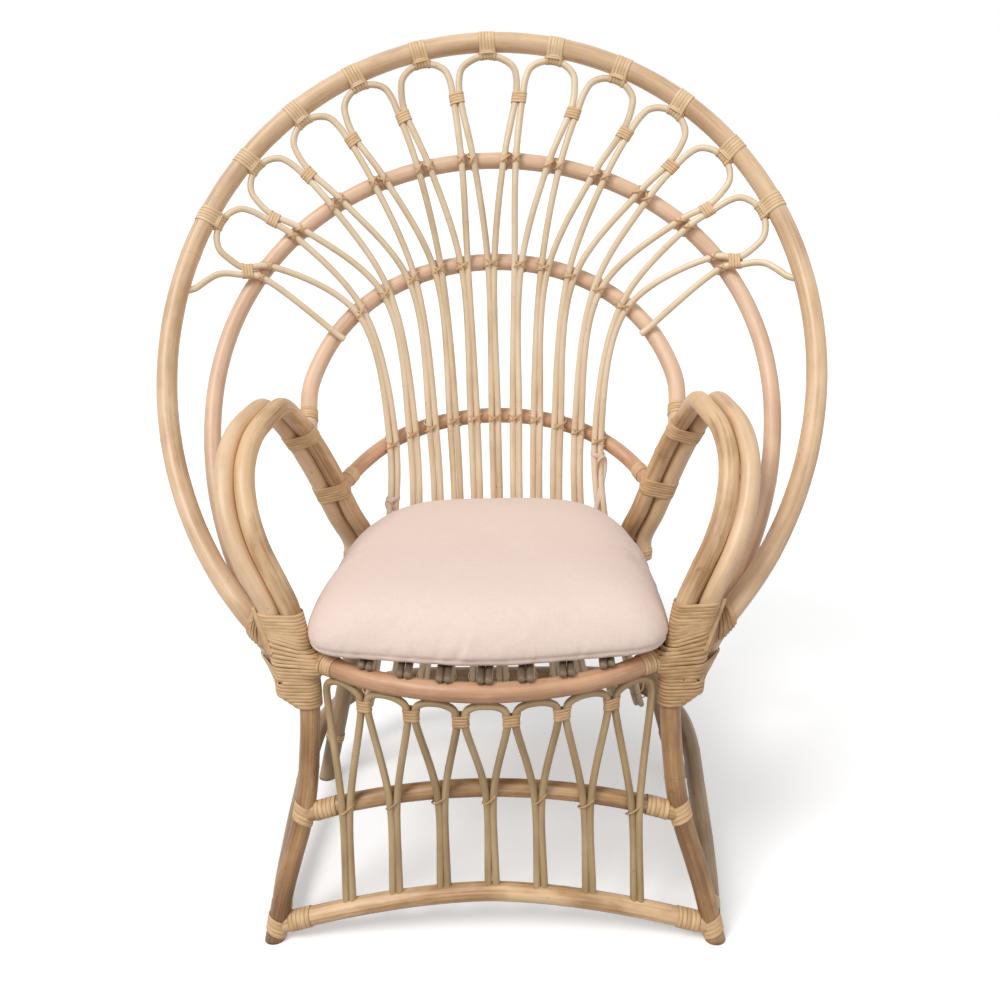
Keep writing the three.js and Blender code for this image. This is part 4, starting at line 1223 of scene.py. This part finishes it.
def make_junction(side, top_rise, tone):
    leg = poles["front_leg_and_arm_right"]
    leg = leg.part(0, leg.near(ARM_FRONT))
    origin = leg.points[np.argmin(np.abs(leg.points[:, 2] - JUNCTION_SPLIT))] * (1, 1, 0)
    here = origin + JUNCTION_SPLIT * up
    halves = [poles[name].part(len(poles[name].points) // 2, None) for name in ("middle_hoop", "outer_hoop")]
    meeting = (leg, poles["outer_arm_right"], *halves)
    leg, arm, *hoops = (near_part(pole, here, JUNCTION_REACH) for pole in meeting)
    top = JUNCTION_TOP + top_rise
    parts = junction_windings(origin, leg, arm, hoops, top, tone)
    strands, nails = junction_band(leg, arm, hoops, top, tone)
    parts += strands
    if side == "left":
        parts, nails = ([mirrored_part(part) for part in group] for group in (parts, nails))
    name = f"junction_winding_{side}"
    piece(name + "_strands", parts, "strand", replaces=[name])
    piece(f"nails_{side}", nails, "nail")


make_hoop_bindings()
make_neighbour_ties("loop_ties", ["back_half_loop_left", *BACK_LOOPS, "back_half_loop_right"], LOOP_TIE_TONE)
make_neighbour_ties("apron_ties", APRON_LOOPS, APRON_TIE_TONE)
make_crossed_ties()
make_end_wraps()
for junction in JUNCTIONS:
    make_junction(*junction)


# Seat deck: each cane between the ends of its solid.
def end_centres(node, direction):
    """Middles of a node's flat faces that face a direction, in order across it."""
    mesh = open_solid(node)
    facing = {face for face in mesh.faces if face.normal.dot(Vector(direction)) > FLAT}
    centres = []
    while facing:
        flat = grown(next(iter(facing)), lambda face: face in facing)
        facing -= flat
        centres.append(mean_of(corners_round(flat)))
    mesh.free()
    centres.sort(key=lambda centre: (round(centre[0], 4), round(centre[1], 4)))
    if direction[0]:
        centres.sort(key=lambda centre: centre[1])
    return centres


def make_deck():
    radius = poles["back_loop_06"].radius
    parts = []
    for direction in (backward, outward):
        for ends in zip(*(end_centres("seat_deck", way * direction) for way in (-1, 1))):
            pole = Pole(evenly(np.array(ends), POLE_SPACING), radius)
            parts.append(pole_part(pole, CANE_ROUND, JOINT_RIDGE / 2))
    # Painted shade: the deck canes take the darkened cane colours for the shade under the cushion.
    piece("seat_deck_canes", parts, "cane_dark", replaces=["seat_deck"])


make_deck()

# Cushion: a crowned pillow with a seam round its lower edge, swollen by a cloth simulation.
CUSHION_STEP = 7 * mm
CUSHION_VOXEL = 6 * mm
CUSHION_RINGS = 22
RING_WIDTH = 0.5 * mm
FRONT_REACH = 9 * mm
CORNER_PLACE = (0.215, -0.262)
CORNER_SPREAD = 55 * mm
CORNER_REACH = 13 * mm
DRAW_IN = 0.985
SEAM_HEIGHT = 0.13
UNDERSIDE_SHARE = 0.97
EDGE_RINGS = [(0.985, 0.025), (0.995, SEAM_HEIGHT)]
CROWN_RISE = 5 * mm
CROWN_POWER = 4.4
CROWN_SQUASH = 0.5
SMOOTHING = (0.5, 3)
SWELL_PRESSURE = 4
SWELL_STIFFNESS = 12
SWELL_FRAMES = 20
SWELL_LIMIT = 7 * mm
UPPER_RUN = 10 * mm
PUCKER_REACH = 42 * mm
PUCKER_FADE = PUCKER_REACH / 2.5
PUCKER_DEPTH = 5 * mm
PUCKER_LENGTH = 13 * mm
PUCKER_POWER = 1.5
PUCKER_SEED = 4.2
DENT_DEPTH = 1.6 * mm
DENT_LENGTHS = (70 * mm, 55 * mm)
DENT_SEED = 0.3
SEAM_WIDTH = 2.5 * mm
SEAM_DEPTH = 1.6 * mm
CREASE_WIDTH = 5 * mm
CREASE_FRONT = -0.18
CREASE_LIP = 0.7
LIP_PLACE = 1.8
# Each crease of the front: its place, length, depth and lean.
CREASES = (
    (-0.186, 34 * mm, 1.8 * mm, 0.1),
    (-0.092, 30 * mm, 1.5 * mm, -0.2),
    (-0.066, 42 * mm, 2.4 * mm, 0.25),
    (-0.040, 80 * mm, 2.6 * mm, 0.35),
    (0.052, 26 * mm, 1.4 * mm, 0.2),
    (0.128, 32 * mm, 1.6 * mm, -0.1),
    (0.197, 30 * mm, 2.0 * mm, -0.2),
)


def cushion_outline():
    """The widest ring of the solid, as a smooth closed line, and its lowest and highest level."""
    corners = np.array([corner.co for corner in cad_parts["cushion"].data.vertices])
    widest = corners[np.argmax(corners[:, 0]), 2]
    ring = corners[np.abs(corners[:, 2] - widest) < RING_WIDTH]
    centre = middle_of(ring)
    angle = np.round(np.arctan2(ring[:, 1] - centre[1], ring[:, 0] - centre[0]), 4)
    ring = ring[np.unique(angle, return_index=True)[1]]
    line = smooth_line(ring, CUSHION_STEP, closed=True)[:-1]
    line[:, 1] -= FRONT_REACH * np.clip(-line[:, 1] / abs(CORNER_PLACE[1]), 0, 1) ** 2
    for side in (-1, 1):
        corner = np.array((side * CORNER_PLACE[0], CORNER_PLACE[1], widest))
        near = np.exp(-((np.linalg.norm(line - corner, axis=1) / CORNER_SPREAD) ** 2))
        line = line + CORNER_REACH * near[:, None] * unit(np.array((side, -1.0, 0.0)))
    return line, corners[:, 2].min(), corners[:, 2].max() + CROWN_RISE


outline, low, high = cushion_outline()
seam_level = low + SEAM_HEIGHT * (high - low)


def cushion_mesh():
    """Rings from the underside's middle out to the seam and up over the crown."""
    middle = middle_of(outline)
    shares = np.sin(np.linspace(0, math.pi / 2, CUSHION_RINGS))[1:]
    rings = [(share, 0.0) for share in shares[:-3] * UNDERSIDE_SHARE] + EDGE_RINGS
    for share in shares[-2::-1]:
        height = (1 - share**CROWN_POWER) ** CROWN_SQUASH
        rings.append((share, SEAM_HEIGHT + (1 - SEAM_HEIGHT) * height))
    corners = []
    for share, height in rings:
        ring = middle + share * DRAW_IN * (outline - middle)
        ring[:, 2] = low + height * (high - low)
        corners += ring.tolist()
    count = len(outline)
    here = np.arange(count)
    beside = np.roll(here, -1)
    faces = [here[::-1].tolist(), (here + (len(rings) - 1) * count).tolist()]
    for start in range(0, (len(rings) - 1) * count, count):
        quads = (here, beside, beside + count, here + count)
        faces += (start + np.stack(quads, axis=1)).tolist()
    mesh = bpy.data.meshes.new("cushion_pillow")
    mesh.from_pydata(corners, [], faces)
    return mesh


def apply_modifiers(made):
    depsgraph = bpy.context.evaluated_depsgraph_get()
    mesh = bpy.data.meshes.new_from_object(made.evaluated_get(depsgraph))
    made.modifiers.clear()
    made.data = mesh


def corners_of(mesh):
    corners = np.empty(len(mesh.vertices) * 3)
    mesh.vertices.foreach_get("co", corners)
    return corners.reshape(-1, 3)


def swell(made):
    """Blow the pillow up as cloth, with a limit on how far each point moves."""
    before = corners_of(made.data)
    cloth = made.modifiers.new("cloth", "CLOTH").settings
    cloth.use_pressure = True
    cloth.uniform_pressure_force = SWELL_PRESSURE
    cloth.effector_weights.gravity = 0
    cloth.tension_stiffness = SWELL_STIFFNESS
    for frame_number in range(1, SWELL_FRAMES + 1):
        bpy.context.scene.frame_set(frame_number)
    apply_modifiers(made)
    bpy.context.scene.frame_set(1)
    moved = corners_of(made.data) - before
    size = np.linalg.norm(moved, axis=1, keepdims=True)
    moved *= np.minimum(1, SWELL_LIMIT / np.maximum(size, WELD))
    made.data.vertices.foreach_set("co", (before + moved).ravel())


def creases_at(corners, away):
    """How deep the front's creases are at each corner, with a raised lip beside each."""
    depths = np.zeros(len(corners))
    for place, length, depth, lean in CREASES:
        across = (corners[:, 0] - place - lean * away) / CREASE_WIDTH
        profile = np.exp(-(across**2)) - CREASE_LIP * np.exp(-((across - LIP_PLACE) ** 2))
        depths += depth * profile * np.clip(1 - away / length, 0, 1)
    return depths * (corners[:, 1] < CREASE_FRONT)


def settle(made):
    """Puckers, dents and creases that fade from the seam, a groove at it, and a flat underside."""
    corners = corners_of(made.data)
    gaps = np.linalg.norm(corners[:, None, :2] - outline[None, :, :2], axis=2)
    nearest = np.argmin(gaps, axis=1)
    inside = gaps[np.arange(len(corners)), nearest]
    above = corners[:, 2] - seam_level
    away = np.hypot(inside, above)
    folds = waves(nearest * CUSHION_STEP / PUCKER_LENGTH, PUCKER_SEED, away / (3 * PUCKER_LENGTH))
    folds = np.sign(folds) * np.abs(folds) ** PUCKER_POWER * np.exp(-away / PUCKER_FADE)
    dents = waves(*(corners[:, :2] / DENT_LENGTHS).T, DENT_SEED)
    outwards = corners - (*middle_of(outline)[:2], low)
    outwards /= np.maximum(np.linalg.norm(outwards, axis=1, keepdims=True), WELD)
    push = PUCKER_DEPTH * folds + DENT_DEPTH * dents - creases_at(corners, away)
    corners = corners + (push * np.clip(above / UPPER_RUN, 0, 1))[:, None] * outwards
    groove = np.exp(-(((corners[:, 2] - seam_level - SEAM_WIDTH) / SEAM_WIDTH) ** 2))
    corners[:, :2] -= (SEAM_DEPTH * groove * (inside < PUCKER_REACH))[:, None] * outwards[:, :2]
    corners[:, 2] = low + np.maximum(corners[:, 2] - low, 0) * (high - low) / (corners[:, 2].max() - low)
    flat, edge = corners[:, :2], outline[:, :2]
    stretch = np.ptp(edge, axis=0) / np.ptp(flat, axis=0)
    corners[:, :2] = edge.min(axis=0) + (flat - flat.min(axis=0)) * stretch
    made.data.vertices.foreach_set("co", corners.ravel())


def make_cushion():
    made = add_object("cushion_pillow", cushion_mesh())
    remesh = made.modifiers.new("remesh", "REMESH")
    remesh.mode = "VOXEL"
    remesh.voxel_size = CUSHION_VOXEL
    smooth = made.modifiers.new("smooth", "SMOOTH")
    smooth.factor, smooth.iterations = SMOOTHING
    apply_modifiers(made)
    swell(made)
    made.modifiers.new("finer", "SUBSURF").levels = 1
    apply_modifiers(made)
    settle(made)
    grain = made.data.attributes.new("grain", "FLOAT_VECTOR", "POINT")
    grain.data.foreach_set("vector", corners_of(made.data).ravel())
    made.data.shade_smooth()
    made.data.materials.clear()
    made.data.materials.append(FINISHES["cotton"])
    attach(made, CUSHION_BODY)
    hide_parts("cushion")


# Tie ribbons: from the cushion's rear corners round a pair of canes.
RIBBON_WIDTH = 9 * mm
RIBBON_THICKNESS = 1 * mm
RIBBON_SEWN = 6 * mm
RIBBON_LOOPS = {"left": "back_loop_01", "right": "back_loop_11"}
RIBBON_RISES = {"left": -25 * mm, "right": 46 * mm}
REAR_BIAS = 1.3
LEAVING = np.array((2, 9, 22)) * mm
SLACK = np.array((9, 0, 4)) * mm
# Round the canes: shares of the pair's half width and depth, and millimetres across, forward and up.
RIBBON_ROUND = (
    (1, 0, 0, 0, -6),
    (0.4, 1, 0, 0, 0),
    (-0.4, 1, 0, 0, 1),
    (-1, 0, 0, 0, 2),
    (0, -1, 0, 0, 1),
    (1, 0, 1, 0, -1),
    (0.5, 1, 0, 1.5, -6),
    (0.2, 1, 0, 2, -30),
    (0.4, 1, 0, 1, -52),
)


def make_ribbon(side):
    """A tape from a rear corner of the cushion, once round a pair of canes, its end hanging down."""
    sign = 1 if side == "right" else -1
    facing = (sign, 1, 1)
    rear = outline[np.argmax(sign * outline[:, 0] + REAR_BIAS * outline[:, 1])]
    corner = np.array((rear[0], rear[1], seam_level)) - RIBBON_SEWN * unit(rear * (1, 1, 0))
    legs = legs_of(poles[RIBBON_LOOPS[side]])
    pair = []
    for leg in legs:
        below = leg.points[leg.points[:, 2] < high + RIBBON_RISES[side]]
        pair.append(below[np.argmax(below[:, 2])])
    centre = (pair[0] + pair[1]) / 2
    depth = legs[0].radius + RIBBON_THICKNESS
    half = np.linalg.norm(pair[0] - pair[1]) / 2 + depth
    across = square_to(pair[1] - pair[0], up) * (1 if pair[1][0] > pair[0][0] else -1)
    front = np.cross(across, up)
    front = front if front[1] < 0 else -front
    across = across * sign
    controls = [corner, corner + LEAVING * facing, (corner + centre) / 2 + SLACK * facing]
    for wide, deep, *offsets in RIBBON_ROUND:
        aside, ahead, rise = np.array(offsets) * mm
        controls.append(centre + (wide * half + aside) * across + (deep * depth + ahead) * front + rise * up)
    points = smooth_line(controls, LAID_SPACING)
    normals = rolling_normals(points, unit(np.gradient(points, axis=0)))
    part = sweep(points, normals, flat_profile(RIBBON_WIDTH, RIBBON_THICKNESS))
    piece(f"tie_ribbon_{side}", [part], "cotton", CUSHION_BODY)


make_cushion()
for side in SIDES:
    make_ribbon(side)

# Stage and light.
FLOOR_SIZE = 20.0
FLOOR_GLOW = 0.3
FLOOR_COLOURS = (colour(150, 144, 138), colour(240, 240, 240))
BLACK = colour(0, 0, 0)
WHITE = colour(255, 255, 255)
# How bright the world is for the chair and for the camera.
WORLD_STRENGTHS = (0.5, 1.0)
LAMPS = (
    # name, direction it shines from, softness in degrees, power
    ("key", (-1.3, -1.5, 2.4), 24, 1.75),
    ("fill", (1.8, -2.2, 1.2), 60, 0.45),
)


def make_stage():
    """A floor that the camera sees as white, and that throws less light back up."""
    shader = Shader("floor")
    seen = shader.seen()
    mesh = bpy.data.meshes.new("floor")
    size = FLOOR_SIZE
    corners = [(-size, -size, 0), (size, -size, 0), (size, size, 0), (-size, size, 0)]
    mesh.from_pydata(corners, [], [(0, 1, 2, 3)])
    mesh.materials.append(
        shader.finish(
            Base_Color=shader.mix(seen, *FLOOR_COLOURS),
            Emission_Color=shader.mix(seen, BLACK, WHITE),
            Emission_Strength=FLOOR_GLOW,
            Roughness=1.0,
        )
    )
    floor = add_object("floor", mesh)


def make_lights():
    shader = Shader("studio", "worlds")
    bpy.context.scene.world = shader.material
    backgrounds = [
        shader.node("ShaderNodeBackground", {}, {"Strength": strength, "Color": WHITE})[0]
        for strength in WORLD_STRENGTHS
    ]
    mixed = shader.node("ShaderNodeMixShader", {}, [shader.seen(), *backgrounds])[0]
    shader.connect(shader.tree.nodes["World Output"].inputs["Surface"], mixed)
    for name, direction, softness, power in LAMPS:
        data = bpy.data.lights.new(name, "SUN")
        data.angle = math.radians(softness)
        data.energy = power
        light = add_object(name, data)
        light.rotation_euler = (-Vector(direction)).to_track_quat("-Z", "Y").to_euler()


make_stage()
make_lights()
bpy.context.scene.view_settings.view_transform = "Standard"
